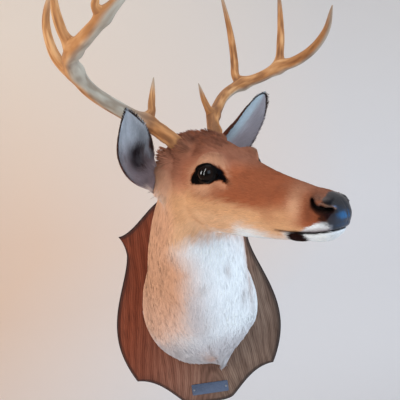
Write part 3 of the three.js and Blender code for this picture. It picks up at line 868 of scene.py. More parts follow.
def face_colour(half, streak):
    """Colour on the head, from a place on the deer's left half in the head's frame."""
    x, _, z = (half / MM).T
    colour = np.repeat(RUST[None], len(half), 0)
    speckle = noise(half / (7 * MM), 15)
    colour = mix(colour, DARK_RUST, 0.35 * ramp(speckle + streak, 0.0, 0.9))
    colour = mix(colour, DARK_RUST, 0.5 * blob(half, (40, 0, 24), (60, 34, 14)))
    colour = mix(colour, ASH, 0.42 * ramp(x, 95, 160) * ramp(z, -16, -4))
    # The cheek pales downwards to the white of the jaw.
    low = z + 0.14 * (x - 20) * ramp(x, 20, 110) + 9.0 * streak
    back = ramp(-x, 10, 60)
    colour = mix(colour, TAN, 0.9 * ramp(-low + 16 * back, mix(22, 29, ramp(x, 0, 40)), 47))
    colour = mix(colour, FAWN, ramp(-low, 48, 70) * (1 - 0.8 * back))
    colour = mix(colour, RUST, 0.35 * blob(half, (97, 26, -50), (10, 24, 12)))
    jaw = ramp(-low - 22 * (1 - ramp(x, 10, 50)), 60, 92) * ramp(x, -44, -4)
    colour = mix(colour, WHITE, jaw)
    # Pale bands on the muzzle, a dark one by the nostril, and pale hair under the eye.
    colour = mix(colour, BUFF, 0.95 * blob(half, (136, 28, -28), (13, 40, 24)))
    colour = mix(colour, TAN, 0.75 * blob(half, (116, 28, -46), (22, 40, 11)))
    colour = mix(colour, DARK_RUST, 0.8 * blob(half, (162, 29, -34), (11, 30, 16)))
    colour = mix(colour, BUFF, 0.7 * blob(half, (-8, 54, -22), (24, 34, 10)))
    colour = mix(colour, DARK_RUST, 0.35 * ramp(x, 30, 70) * ramp(z, -34, -14))
    colour = mix(colour, FACE_GREY, 0.5 * ramp(z - 0.05 * np.maximum(x, 0), 2, 20))
    colour = crown_marks(colour, half, streak)
    colour = eye_marks(colour, half, streak)
    colour = mouth_marks(colour, half, streak)
    return nose_marks(colour, half)


def crown_marks(colour, half, streak):
    """Behind the eye the coat is greyer, and dark and mottled over the crown."""
    x, y, z = (half / MM).T
    temple = ramp(-x, 30, 60) * ramp(-z, -30, -10) * (1 - ramp(-z, 24, 50))
    colour = mix(colour, TEMPLE, 0.75 * temple)
    crown = ramp(z + 0.25 * np.minimum(-x, 90) + 14 * streak, 26, 52)
    brown = between(CROWN_BROWN, CROWN_SIDE, ramp(y, 25, 48))
    colour = mix(colour, brown, 0.85 * crown)
    mottle = ramp(noise(half / (11 * MM), 5) + 0.7 * streak, 0.05, 0.7)
    colour = mix(colour, CROWN_DARK, crown * mottle * 0.55)
    tint = ramp(noise(half / (9 * MM), 25) - 0.6 * streak, 0.1, 0.8)
    colour = mix(colour, RUST, crown * tint * 0.5)
    # A dark patch between the ear's root and the antler: darker hair, and painted shade in the hollow
    # there.
    colour = mix(colour, CROWN_DARK, 0.75 * blob(half, (-96, 54, 4), (9, 18, 12)))
    return mix(colour, NECK_TAN, 0.55 * ramp(-x, 56, 110) * (1 - ramp(z, -10, 20)))


def eye_marks(colour, half, streak):
    """Round the eye: a pale ring, dark brow marks, a pale arch above, the dark lids and duct."""
    x, y, z = (half / MM).T
    dark = dark_lid_distance(half)
    edge = dark + 1.6 * streak
    above = ramp(z - 0.1 * x, -6, 10)
    reach = mix(5.0, 10.0, above)
    ring = ramp(edge, 0, 3.0) * ramp(-edge, -reach - 8, -reach * 0.3) * mix(0.45, 0.62, above)
    brow = blob(half, (-32, 48, 30), (12, 20, 6)) + 0.7 * blob(half, (34, 36, 26), (13, 16, 6))
    colour = mix(colour, BROW_RUST, np.clip(brow * (1 + 0.5 * streak), 0, 1) * 0.75)
    colour = mix(colour, BUFF, ring * ramp(y, 30, 42))
    arch, _ = path_distance(half, np.array([(12, 44, 30), (28, 40, 23), (42, 34, 11)]) * MM)
    colour = mix(colour, BUFF, 0.5 * bell(arch, 3.4 * MM))
    colour = mix(colour, LID_BLACK, 1 - ramp(dark, -1.2, 1.2))
    colour = mix(colour, LID_BLACK, 1 - ramp(lid_distance(half), 1.6, 2.8))
    away, along = duct_distance(half)
    duct = 1 - ramp(away, mix(2.2, 1.4, along) * MM, mix(3.6, 2.6, along) * MM)
    return mix(colour, LID_BLACK, duct * ramp(y, 25, 32))


def mouth_marks(colour, half, streak):
    """A white lip over the mouth's line, a white chin, and a dark spot at the lips' corner."""
    x, _, z = (half / MM).T
    below = z - mouth_height(half[:, 0]) / MM
    lip_height = 15.0 * ramp(x, 130, 184)
    lip = ramp(x, 130, 142) * ramp(lip_height - below + 2 * streak, -1.2, 2.2) * ramp(below, -1, 0)
    # The lip darkens towards the mouth's line: painted shade in the crease.
    colour = mix(colour, between(LILAC_SHADE * 0.75, WHITE, ramp(below, 1, 11)), lip)
    colour = mix(colour, WHITE, ramp(-below, -0.4, 0.6) * ramp(x, 108, 132))
    colour = mix(colour, LIP_DARK, 0.75 * bell(below - 0.5, 2.2) * ramp(x, 98, 112))
    spot = np.hypot((x - 139) / 17, (z + 74.5 - 0.14 * (x - 139)) / 10.0) + 0.25 * streak
    return mix(colour, LIP_DARK, 1 - ramp(spot, 0.7, 1.3))


def nose_marks(colour, half):
    """A slate-black pad with ash wings and a painted highlight on their rims, dark nostrils, and the
    black line of the mouth.
    """
    x, _, z = (half / MM).T
    wing = blob(half, (172, 28, -11), (9, 14, 6))
    colour = mix(colour, CROWN_DARK, 0.8 * blob(half, (163, 27, -15), (8, 14, 12)))
    colour = mix(colour, NOSE_BLACK, nose_share(half))
    colour = mix(colour, ASH * 0.7, 0.7 * wing)
    under = np.clip(1.4 * blob(half, (185, 25, -36), (9, 12, 8)), 0, 1)
    colour = mix(colour, LIP_DARK, 0.9 * under)
    away, along = nostril_distance(half)
    width = nostril_width(along)
    around = 1 - ramp(away, 1.4 * width, 3.0 * width)
    colour = mix(colour, LIP_DARK, 0.8 * around * (1 - 0.6 * wing))
    # Painted highlight: an ash line on the wing's rim just above the slit.
    level = np.interp(along, np.linspace(0, 1, len(NOSTRIL)), NOSTRIL[:, 2])
    over = ramp(half[:, 2] - level, 0.5 * MM, 2 * MM) * ramp(along, 0.25, 0.5)
    colour = mix(colour, ASH, 0.6 * over * bell(away - 2.3 * width, 1.7 * MM))
    slit = 1 - ramp(away, 0.5 * width, 1.7 * width)
    colour = mix(colour, between(LIP_DARK, BLACK, ramp(along, 0, 0.4)), slit)
    below = z - mouth_height(half[:, 0]) / MM
    return mix(colour, BLACK, bell(below, 1.6) * ramp(x, 132, 146))


# How many degrees off the middle of the throat the white begins to fade and is gone, for a
# few heights on the neck in metres.
WHITE_HEIGHTS = (-0.075, -0.02, 0.055, 0.095, 0.135)
WHITE_STARTS = (70, 10, 0, 4, 30)
WHITE_ENDS = (150, 116, 93, 88, 118)
# The parting of the hair on the brisket, and the tan patch beside it.
PARTING = ((0.017, -0.128, -0.058), (0.021, -0.095, -0.090), (0.030, -0.045, -0.124))
PARTING_WIDTH = 0.0024
BESIDE_PARTING = ((0.008, -0.085, -0.098), (0.017, 0.04, 0.022))
# Grey smudges on the throat: place, radii and strength.
SMUDGES = (
    ((0.070, -0.196, 0.082), (0.006, 0.03, 0.013), 0.42),
    ((0.094, -0.120, 0.028), (0.007, 0.03, 0.020), 0.36),
    ((0.022, -0.210, 0.060), (0.012, 0.03, 0.010), 0.25),
)


def patch(points, centre, radii):
    """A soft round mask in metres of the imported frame."""
    d = (points - np.array(centre)) / np.array(radii)
    return np.exp(-(d * d).sum(1))


def neck_colour(points, normals, streak):
    """Colour on the neck: tan sides and nape, white throat and brisket."""
    z = points[:, 2]
    bearing = mix(40.0, 52.0, ramp(z, -0.12, 0.16))
    turn = np.degrees(np.arctan2(normals[:, 0], -normals[:, 1]))
    away = np.abs((turn - bearing + 180) % 360 - 180) + 6 * streak
    starts, ends = (np.interp(z, WHITE_HEIGHTS, v) for v in (WHITE_STARTS, WHITE_ENDS))
    throat = 1 - ramp(z + 0.008 * streak, 0.130, 0.160)
    throat *= 1 - ramp(turn, 50, 100) * ramp(z + 0.012 * streak, 0.07, 0.14)
    round_left = ramp(turn + 7 * streak, 84, 122)
    white = (1 - ramp((away - starts) / (ends - starts), 0.0, 1.0)) * throat * (1 - round_left)
    tan = between(NECK_TAN, NECK_PALE, ramp(-z, -0.09, 0.03))
    # Painted light: paler fawn on the underside of the neck below the jaw, where shade falls.
    tan = mix(tan, FAWN, ramp(z, 0.12, 0.16) * ramp(-normals[:, 2], 0.1, 0.4))
    coat = mix(tan, ASH, 0.30 * ramp(normals[:, 2], 0.2, 0.8))
    coat = mix(coat, ASH, 0.14 * ramp(noise(points / 0.035, 11) + 0.3 * streak, 0.0, 0.8))
    coat = mix(coat, WHITE, white)
    # Painted shade in lilac: low on the white, and further up where it faces straight out from the wall.
    shade = 0.5 * bell(turn + 2, 26) * ramp(-z, -0.09, -0.01)
    shade = np.maximum(shade, 0.65 * ramp(-z + 0.01 * streak, 0.02, 0.07))
    coat = mix(coat, LILAC_SHADE, shade * ramp(white, 0.1, 0.5))
    line, _ = path_distance(points, PARTING)
    coat = mix(coat, NECK_TAN, 0.6 * patch(points, *BESIDE_PARTING))
    # Painted shade: the dark line along the parting, between the locks of hair.
    coat = mix(coat, CROWN_DARK, (0.6 + 0.3 * streak) * bell(line, PARTING_WIDTH))
    smudge = np.max([strength * patch(points, *where) for *where, strength in SMUDGES], axis=0)
    return mix(coat, ASH, np.clip(smudge + 0.15 * streak * smudge, 0, 1))


def ear_hollow_shade(flat, shade):
    """How dark the painted shade is along the ear's hollow, at its deepest line and beside it."""
    return bell(flat["outwards"] + EAR_HOLLOW, 0.4) * shade


def ear_colour(flat, streak, shade):
    along, turn, inside, outwards = (flat[k] for k in ("along", "turn", "inside", "outwards"))
    back = between(EAR_BACK, EAR_RIM, ramp(along, 0.62, 0.95))
    back = mix(back, EAR_RIM, 0.8 * ramp(np.abs(turn), 0.62, 0.95) * ramp(along, 0.3, 0.6))
    # The dark line down the hollow is painted shade in the ear's cup; the tufts are thinned there too.
    hollow_shade = ear_hollow_shade(flat, shade)
    hollow = hollow_shade * ramp(along, -0.06, 0.04) * (1 - ramp(along, 0.38, 0.64))
    bowl = between(EAR_GREY, EAR_PALE, ramp(along - 0.4 * streak, 0.1, 0.45))
    bowl = bowl * (1 + 0.35 * streak[:, None] + 0.25 * ramp(np.abs(turn), 0.3, 0.7)[:, None])
    lilac = mix(0.9, 0.7 * (1 - ramp(along - 0.3 * outwards, 0.2, 0.7)), shade)
    bowl = mix(bowl, EAR_LILAC, lilac)
    # The inner edge has painted pale-blue light on one ear, and is brown at the foot of the other.
    lit_edge = ramp(-outwards + 0.2 * streak, -0.3, 0.2) * (1 - shade)
    bowl = mix(bowl, EAR_EDGE_LIGHT, lit_edge)
    bowl = mix(bowl, EAR_DARK, np.clip(hollow + 0.25 * streak * hollow, 0, 1))
    inner_edge = ramp(-outwards + 0.2 * streak, 0.78, 0.95) * (1 - ramp(along, 0.4, 0.65)) * shade
    bowl = mix(bowl, EAR_BACK, 0.8 * inner_edge * ramp(along, 0.22, 0.36))
    near_root = 1 - ramp(along + 0.06 * streak, 0.08, 0.26)
    back = mix(back, EAR_LILAC, 0.85 * near_root * shade)
    rim = ramp(np.abs(turn) + 0.28 * ramp(along, 0.75, 1) + 0.1 * streak, 0.8, 0.98)
    rim = rim * ramp(along + 0.1 * streak, 0.14, 0.36)
    bowl = mix(bowl, EAR_RIM, rim)
    colour = mix(back, bowl, inside)
    # Pale hair at the root, up to a share of the ear's length that differs round it.
    foot = mix(mix(-0.12, 0.16, ramp(np.abs(turn), 0.45, 0.85)), mix(0.08, -0.06, hollow_shade), inside)
    return mix(colour, EAR_FOOT, 1 - ramp(along + 0.08 * streak, foot - 0.2, foot))


# ---------------------------------------------------------------- how the coat lies

BRISKET_TIP = np.array((0.036, -0.03, -0.145))
# The tufts by zone: length and width in millimetres, how many to the square millimetre, and how
# much their colours vary.
CHEEK_TUFTS = np.array((9.0, 1.25, 0.42, 0.07))
MUZZLE_TUFTS = np.array((5.0, 0.85, 0.62, 0.07))
CROWN_TUFTS = np.array((14.0, 2.5, 0.34, 0.13))
NECK_TUFTS = np.array((19.0, 2.2, 0.19, 0.035))
BRISKET_TUFTS = np.array((27.0, 2.2, 0.19, 0.035))
EAR_FOOT_LENGTH = 16.0
BY_EAR_LENGTH = 15.0


def head_lie(half):
    """Direction of the hair on the deer's left half of the head, in the head's frame."""
    x, _, z = (half / MM).T
    lie = np.zeros((len(half), 3))
    lie[:, 0] = -1.0
    lie[:, 2] = -0.55 * ramp(-x, -60, 40) * ramp(-z, -20, 40)
    away = half - EYE_MIDDLE
    near = bell(np.linalg.norm(away, axis=1), 27 * MM)
    return lie + unit(away) * (1.3 * near)[:, None]


def neck_lie(points):
    lie = np.zeros((len(points), 3))
    lie[:, 1] = mix(0.25, 0.8, ramp(points[:, 2], 0.0, 0.28))
    lie[:, 2] = -1.0
    pull = ramp(-points[:, 2], 0.0, 0.13)
    lie[:, 0] = np.clip((BRISKET_TIP[0] - points[:, 0]) / 0.09, -0.8, 0.8) * pull
    lie[:, 1] *= ramp(-points[:, 1], 0.03, 0.07)
    return lie


def tangent(lie, normals):
    return unit(lie - normals * (lie * normals).sum(1, keepdims=True))


def turned(directions, normals, angle):
    side = np.cross(normals, directions)
    return directions * np.cos(angle)[:, None] + side * np.sin(angle)[:, None]


def skin_lie(points, normals, head, neck):
    """Which way the hair lies on the head and neck."""
    half = mirrored(head)
    lie = head_lie(half)
    # Round the antler the hair stands along the stump.
    lie += np.outer(1.6 * stump_share(half, (20, 36), (24, 30)), PEDICLE_AXIS)
    lie[:, 1] *= np.where(head[:, 1] < 0, -1.0, 1.0)
    lie = tangent(mix(lie @ HEAD_AXES.T, neck_lie(points), neck), normals)
    return turned(lie, normals, 0.22 * noise(points / 0.024, 3) + 0.12 * noise(points / 0.009, 4))


def skin_colour(points, normals, head, neck):
    half = mirrored(head)
    x, _, z = (half / MM).T
    along = half @ unit(np.array((1.0, 0.0, 0.35)))
    across = half @ unit(np.array((-0.35, 0.0, 1.0)))
    grain = np.stack([along / (13 * MM), half[:, 1] / (3.4 * MM), across / (3.4 * MM)], 1)
    head_streak = layered(grain, 3, 21)
    neck_streak = layered(points / (0.0055, 0.0055, 0.045), 3, 31)
    under_jaw = ramp(-z, 76, 96) * (1 - ramp(x, -44, -4))
    blend = np.maximum(ramp(neck + 0.2 * neck_streak, 0.0, 1.0), under_jaw)
    colour = mix(face_colour(half, head_streak), neck_colour(points, normals, neck_streak), blend)
    # Pale hair below each ear's root, and a dark mark at the far brow.
    foot = blob(half, (-106, 58, -46), (13, 20, 16))
    colour = mix(colour, EAR_FOOT, np.clip(foot + 0.8 * head_streak * foot, 0, 0.6))
    far_brow = blob(head, (6, 52, 22), (26, 16, 14))
    colour = mix(colour, CROWN_DARK, np.clip(far_brow * (0.5 + 0.8 * head_streak), 0, 0.8))
    dark = colour.mean(1, keepdims=True) < 0.03
    streaked = mix(0.13 * head_streak, 0.08 * neck_streak, neck)
    return np.where(dark, colour, colour * (1 + streaked[:, None]))


def bare_share(half):
    """1 on the skin without hair: the nose pad, lids, nostrils and lips."""
    x, _, z = (half / MM).T
    nostril = nostril_distance(half)[0] / MM
    below = np.abs(z - mouth_height(half[:, 0]) / MM)
    return np.max([
        nose_share(half),
        1 - ramp(lid_distance(half), 1.4, 3.0),
        1 - ramp(dark_lid_distance(half), -2.5, 0.0),
        1 - ramp(nostril, 4.5, 6.5),
        (1 - ramp(nostril, 9.0, 11.0)) * ramp(x, 166, 172),
        (1 - ramp(below, 1.2, 2.2)) * ramp(x, 100, 112),
    ], axis=0)


def wet_share(half):
    """1 on the wet part of the nose, away from the nostrils except at its tip."""
    tip = ramp(half[:, 0] / MM, 187, 194)
    nostril = nostril_distance(half)[0] / MM
    return nose_share(half) * ramp(nostril, mix(10.0, 2.0, tip), mix(14.0, 5.0, tip))


def skin_coat(points, normals):
    """For each vertex of the head and neck: lie, colour, and the size and density of the tufts."""
    head = to_head(points)
    half = mirrored(head)
    x, _, z = (half / MM).T
    neck = neck_share(head)
    bare = bare_share(half)
    forward = ramp(x, 0, 150)
    from_lid = ramp(np.minimum(lid_distance(half), dark_lid_distance(half) + 2), 2.0, 14.0)
    stump = stump_share(half, (24, 40), (26, 32))
    crown = np.maximum(ramp(z - 0.1 * x, 40, 56) * ramp(-x, 30, 58), stump)
    foot = np.clip(1.3 * blob(half, (-108, 72, -34), (26, 26, 24)), 0, 1)
    throat = ramp(-points[:, 2], 0.03, 0.12)

    zones = mix(between(CHEEK_TUFTS, MUZZLE_TUFTS, forward), CROWN_TUFTS, crown)
    zones = mix(zones, between(NECK_TUFTS, BRISKET_TUFTS, throat), neck)
    length, width, density, vary = zones.T
    length = mix(length, EAR_FOOT_LENGTH, foot)
    length = mix(length, BY_EAR_LENGTH, blob(half, (-95, 58, 6), (10, 14, 16)))
    near_board = 1 - ramp(-points[:, 1], 0.022, 0.05)
    length = length * mix(0.45, 1.0, from_lid) * mix(1.0, 0.4, near_board)
    width = width * mix(0.6, 1.0, from_lid)
    lift = mix(mix(0.15, 0.5, crown), 0.4, foot) * mix(1.0, 0.6, neck)
    seat = stump_share(half, (13, 16), (20, 24))
    density = density * (mix(1.8, 1.0, from_lid) * (1 - bare) * (1 - seat))
    against_board = ramp(points[:, 1], -0.034, -0.026) * ramp(normals[:, 1], 0.1, 0.4)
    density *= 1 - against_board
    return {
        "lie": skin_lie(points, normals, head, neck),
        "colour": skin_colour(points, normals, head, neck),
        "length": length * MM, "width": width * MM, "lift": lift, "density": density / MM**2,
        "neck": neck, "bare": bare, "wet": wet_share(half), "vary": vary,
    }


def ear_coat(points, normals, flat, side, shade):
    along, turn, inside = (flat[k] for k in ("along", "turn", "inside"))
    local = np.stack([along * 9, turn * 7, inside * 5], 1)
    streak = layered(local * (0.6, 1.6, 1), 3, 41 + side)
    colour = ear_colour(flat, streak, shade)
    fan = flat["ahead"] + flat["across"] * (turn * inside * 0.5)[:, None]
    lie = tangent(fan @ HEAD_AXES.T, normals)
    lie = turned(lie, normals, 0.25 * noise(points / 0.014, 7))
    rim = ramp(np.abs(turn), 0.75, 1.0)
    long_hair = inside * ramp(np.abs(turn), 0.15, 0.6) * (1 - ramp(along, 0.6, 0.95))
    length = mix(7.0, 15.0, long_hair)
    length = mix(12.0, length, ramp(along, 0.0, 0.2))
    length = mix(length, 5.0, rim * ramp(along, 0.3, 0.6))
    width = mix(1.1, 0.8, long_hair)
    lift = mix(0.12, 0.32, long_hair)
    density = mix(0.55, 0.4, inside) * ramp(along, -0.2, -0.05)
    density *= 1 - 0.8 * inside * ear_hollow_shade(flat, shade) * (1 - ramp(along, 0.35, 0.6))
    none = np.zeros(len(points))
    return {
        "lie": lie, "colour": colour, "length": length * MM, "width": width * MM,
        "lift": lift, "density": density / MM**2, "neck": none, "bare": none, "wet": none,
        "vary": none + 0.06,
    }


# ---------------------------------------------------------------- tufts

COAT_SHARE = 1.0  # of the tufts that are made
MAP_PATCH = 0.003  # size of a tuft on its map, as a share of the map
BOARD_GAP = 0.0004  # the tufts stop this far in front of the board


def scattered(points, triangles, normals, coat, rng, chosen):
    """Roots spread over the chosen triangles, with the coat's values there."""
    triangles = triangles[chosen]
    corner = points[triangles]
    twice_area = np.cross(corner[:, 1] - corner[:, 0], corner[:, 2] - corner[:, 0])
    area = np.linalg.norm(twice_area, axis=1) / 2
    expected = area * coat["density"][triangles].mean(1) * COAT_SHARE
    total = np.cumsum(expected)
    count = int(total[-1])
    places = (np.arange(count) + rng.random(count)) * total[-1] / count
    face = np.searchsorted(total, places)
    u, v = rng.random(count), rng.random(count)
    over = u + v > 1
    u, v = np.where(over, 1 - u, u), np.where(over, 1 - v, v)
    share = np.stack([1 - u - v, u, v], 1)
    index = triangles[face]

    def at(values):
        return np.einsum("ij,ij...->i...", share, values[index])

    roots = {key: at(value) for key, value in coat.items()}
    roots["place"] = at(points)
    roots["normal"] = unit(at(normals))
    roots["lie"] = unit(roots["lie"])
    return roots


def tufts(name, roots, rings, unwrap, rng):
    """One mesh of closed, three-sided tapering tufts."""
    count = len(roots["place"])
    normal, lie = roots["normal"], roots["lie"]
    length = roots["length"] * rng.uniform(0.75, 1.25, count)
    width = roots["width"] * rng.uniform(0.75, 1.3, count)
    roll = rng.normal(0, 0.35, count)
    across = np.cross(normal, lie)
    side = across * np.cos(roll)[:, None] + normal * np.sin(roll)[:, None]
    top = normal * np.cos(roll)[:, None] - across * np.sin(roll)[:, None]
    lift = roots["lift"] * rng.uniform(0.6, 1.4, count)
    bend = rng.normal(0, 0.10, count)
    place = roots["place"] - normal * (0.25 * width)[:, None]

    points, shades, facing, maps = [], [], [], []
    base = roots["colour"] * (1 + rng.normal(0, 1, count) * roots["vary"])[:, None]
    uv = unwrap(roots["place"])
    stretch = [*np.linspace(0, 0.78, rings), 1.0]
    for t in stretch:
        centre = place + lie * (length * t)[:, None]
        centre = centre + normal * (length * lift * (t - 0.62 * t * t))[:, None]
        centre = centre + across * (length * bend * t * t)[:, None]
        size = width * (1.0 - 0.25 * (2 * t - 0.7) ** 2) * (1 - 0.45 * t)
        shade = base * (0.90 + 0.17 * t)
        if t == 1.0:
            corners = [(centre, normal, 0.0)]
        else:
            corners = [
                (centre - side * (size * 0.5)[:, None], normal - side * 0.45, -0.5),
                (centre + side * (size * 0.5)[:, None], normal + side * 0.45, 0.5),
                (centre + top * (size * 0.3)[:, None], normal + top * 0.2, 0.0),
            ]
        for corner, towards, sideways in corners:
            points.append(corner)
            facing.append(unit(towards + lie * 0.15 * t))
            shades.append(shade)
            maps.append(uv + np.array((sideways, t - 0.5)) * MAP_PATCH)
    each = len(points)
    points, facing, shades, maps = (np.stack(rows, 1).reshape(-1, rows[0].shape[1])
                                    for rows in (points, facing, shades, maps))
    points[:, 1] = np.minimum(points[:, 1], BOARD_FACE - BOARD_GAP)

    pattern = [(0, 2, 1)]
    for k in range(rings - 1):
        for i, j in ((0, 1), (1, 2), (2, 0)):
            a, b = 3 * k + i, 3 * k + j
            pattern += [(a, b, b + 3), (a, b + 3, a + 3)]
    last = 3 * (rings - 1)
    pattern += [(last + i, last + (i + 1) % 3, each - 1) for i in range(3)]
    faces = (np.array(pattern)[None] + np.arange(count)[:, None, None] * each).reshape(-1, 3)

    piece = make_object(name, points, faces)
    set_colours(piece, "coat_colour", np.clip(shades, 0, 1))
    set_values(piece, "custom_normal", facing, "FLOAT_VECTOR", "vector")
    layer = piece.data.uv_layers.new(name="OFBake", do_init=False)
    layer.data.foreach_set("uv", maps[faces.ravel()].astype(np.float32).ravel())
    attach(piece, "root")
    return piece


MOST_TRIANGLES = 190_000


def split_roots(name, roots, rings, unwrap, rng):
    """Tufts in as many pieces as keep each under the limit, each a sector of the body."""
    count = len(roots["place"])
    each = 1 + 6 * (rings - 1) + 3  # triangles in a tuft
    pieces = max(1, math.ceil(count * each / MOST_TRIANGLES))
    order = np.argsort(unwrap(roots["place"])[:, 0], kind="stable")
    made = []
    for i, chosen in enumerate(np.array_split(order, pieces)):
        part = {key: value[chosen] for key, value in roots.items()}
        label = name if pieces == 1 else f"{name}_{i + 1}"
        made.append(tufts(label, part, rings, unwrap, rng))
    return made


# ---------------------------------------------------------------- materials


class Nodes:
    """Short calls for building one material's node tree."""

    def __init__(self, name):
        self.material = bpy.data.materials.new(name)
        self.material.use_nodes = True
        self.tree = self.material.node_tree
        self.shader = self.tree.nodes["Principled BSDF"]

    def add(self, kind, inputs=(), **settings):
        node = self.tree.nodes.new(kind)
        for key, value in settings.items():
            setattr(node, key, value)
        for key, value in dict(inputs).items():
            self.set(node, key, value)
        return node

    def set(self, node, key, value):
        if isinstance(value, bpy.types.NodeSocket):
            self.tree.links.new(value, node.inputs[key])
        else:
            node.inputs[key].default_value = value

    def surface(self, **inputs):
        for key, value in inputs.items():
            self.set(self.shader, key.replace("_", " "), value)

    def attribute(self, name, output="Color"):
        return self.add("ShaderNodeAttribute", attribute_name=name).outputs[output]

    def places(self, scale=(1, 1, 1)):
        where = self.add("ShaderNodeTexCoord").outputs["Object"]
        return self.add("ShaderNodeMapping", {"Vector": where, "Scale": scale}).outputs["Vector"]

    def axes(self):
        where = self.add("ShaderNodeTexCoord").outputs["Object"]
        return self.add("ShaderNodeSeparateXYZ", {"Vector": where}).outputs

    def noise(self, vector, scale, detail=3.0):
        inputs = {"Vector": vector, "Scale": scale, "Detail": detail, "Roughness": 0.55}
        return self.add("ShaderNodeTexNoise", inputs).outputs["Fac"]

    def range(self, value, low, high, to_low=0.0, to_high=1.0):
        inputs = {"Value": value, "From Min": low, "From Max": high, "To Min": to_low,
                  "To Max": to_high}
        return self.add("ShaderNodeMapRange", inputs).outputs["Result"]

    def maths(self, operation, a, b=0.0):
        return self.add("ShaderNodeMath", {0: a, 1: b}, operation=operation).outputs[0]

    def plus(self, a, b):
        return self.maths("ADD", a, b)

    def times(self, a, b):
        return self.maths("MULTIPLY", a, b)

    def mixed(self, share, a, b):
        # The sockets 0, 6 and 7 are the share and the two colours.
        return self.add("ShaderNodeMix", {0: share, 6: a, 7: b}, data_type="RGBA").outputs[2]

    def ramp(self, value, stops):
        node = self.add("ShaderNodeValToRGB", {"Fac": value})
        elements = node.color_ramp.elements
        while len(elements) < len(stops):
            elements.new(0.5)
        for element, (place, colour) in zip(elements, stops):
            element.position = place
            element.color = rgba(*colour)
        return node.outputs["Color"]

    def bump(self, height, strength, distance):
        inputs = {"Height": height, "Strength": strength, "Distance": distance}
        self.set(self.shader, "Normal", self.add("ShaderNodeBump", inputs).outputs["Normal"])


def coat_material():
    n = Nodes("coat_hair")
    colour = n.attribute("coat_colour")
    n.surface(Base_Color=colour, Sheen_Tint=colour, Roughness=0.62)
    n.surface(Specular_IOR_Level=0.04, Sheen_Weight=0.12, Sheen_Roughness=0.5)
    return n.material


def skin_material():
    """Hide under the coat, and the bare skin of the nose, lids and lips."""
    n = Nodes("hide")
    bare = n.attribute("bare", "Fac")
    hair = n.noise(n.places(), 900.0, 2.0)
    pebble = n.add("ShaderNodeTexVoronoi", {"Vector": n.places(), "Scale": 620.0}, feature="F1")
    pebbles = n.range(pebble.outputs["Distance"], 0.15, 0.6, 1.0, 0.0)
    wet = n.attribute("wet", "Fac")
    n.surface(Base_Color=n.attribute("coat_colour"), Roughness=n.range(bare, 0, 1, 0.85, 0.5))
    n.surface(Specular_IOR_Level=0.02, Coat_Weight=wet, Coat_Roughness=0.34)
    height = n.add("ShaderNodeMix", {0: bare, 2: hair, 3: pebbles}, data_type="FLOAT").outputs[0]
    n.bump(height, 0.55, 0.0006)
    return n.material


def eye_material():
    n = Nodes("eye_glass")
    grain = n.noise(n.places(), 500.0)
    shade = n.range(grain, 0.3, 0.7, 0.2, 0.5)
    colour = n.mixed(shade, n.attribute("iris"), (0.003, 0.002, 0.002, 1))
    n.surface(Base_Color=colour, Roughness=0.03, Specular_IOR_Level=0.08)
    return n.material


def antler_material():
    n = Nodes("antler_bone")
    height = n.attribute("streak", "Fac")
    blotch = n.noise(n.places(), 22.0, 2.0)
    tone = n.plus(n.times(blotch, 0.5), n.range(height, -0.6, 0.6, 0.0, 0.5))
    colour = n.ramp(tone, [(0.25, (146, 98, 60)), (0.5, (180, 127, 80)), (0.75, (210, 162, 114))])
    pale = n.ramp(tone, [(0.3, (156, 150, 138)), (0.7, (190, 186, 174))])
    # The pale share carries painted light on one side of each beam, and the pale tips.
    colour = n.mixed(n.attribute("pale", "Fac"), colour, pale)
    groove = n.range(height, -0.8, 0.0, 0.38, 0.0)
    colour = n.mixed(groove, colour, rgba(98, 64, 42))
    fine = n.noise(n.places(), 1400.0, 2.0)
    n.surface(Base_Color=colour, Roughness=n.range(blotch, 0.2, 0.8, 0.6, 0.48))
    n.surface(Specular_IOR_Level=0.35)
    n.bump(n.plus(n.times(height, 0.6), n.times(fine, 0.25)), 0.6, 0.0008)
    return n.material


def wood_material():
    """Stained oak: growth rings cut into arches, open pores along them, a darker edge."""
    n = Nodes("stained_oak")
    place = n.axes()
    sway = n.noise(n.places((1, 1, 0.5)), 7.0, 2.0)
    across = n.plus(place["X"], n.range(sway, 0, 1, -0.06, 0.035))
    down = n.times(n.plus(place["Z"], 0.34), 0.17)
    ring = n.maths("POWER", n.plus(n.times(across, across), n.times(down, down)), 0.5)
    wobble = n.noise(n.places((1, 1, 0.12)), 60.0, 2.0)
    wide = n.plus(n.times(ring, 420.0), n.times(wobble, 6.0))
    fine = n.plus(n.times(ring, 1700.0), n.times(wobble, 9.0))
    arches = n.range(n.maths("SINE", wide), -1, 1, 0, 0.16)
    bands = n.range(n.maths("SINE", fine), -1, 1, 0, 0.16)
    patches = n.noise(n.places((1, 1, 0.3)), 12.0, 3.0)
    figure = n.plus(n.plus(arches, bands), n.times(patches, 0.75))
    red = n.ramp(figure, [(0.25, (94, 44, 28)), (0.55, (130, 68, 48)), (0.85, (158, 94, 70))])
    grey = n.ramp(figure, [(0.25, (78, 66, 58)), (0.55, (110, 98, 88)), (0.85, (140, 128, 116))])
    # Painted sheen: the red fades to grey towards the deer's left.
    sheen_share = n.maths("SUBTRACT", place["X"], n.times(place["Z"], 0.4))
    colour = n.mixed(n.range(sheen_share, -0.12, 0.12, 0, 0.85), red, grey)
    pores = n.noise(n.places((1, 1, 0.035)), 900.0, 2.0)
    dark = n.range(pores, 0.52, 0.64, 0.0, 0.5)
    colour = n.mixed(dark, colour, rgba(50, 30, 24))
    colour = n.mixed(n.attribute("edge", "Fac"), colour, rgba(30, 24, 26))
    n.surface(Base_Color=colour, Roughness=n.range(pores, 0.3, 0.7, 0.42, 0.58))
    n.surface(Specular_IOR_Level=0.12)
    n.bump(n.maths("SUBTRACT", bands, n.times(dark, 1.5)), 0.3, 0.0005)
    return n.material


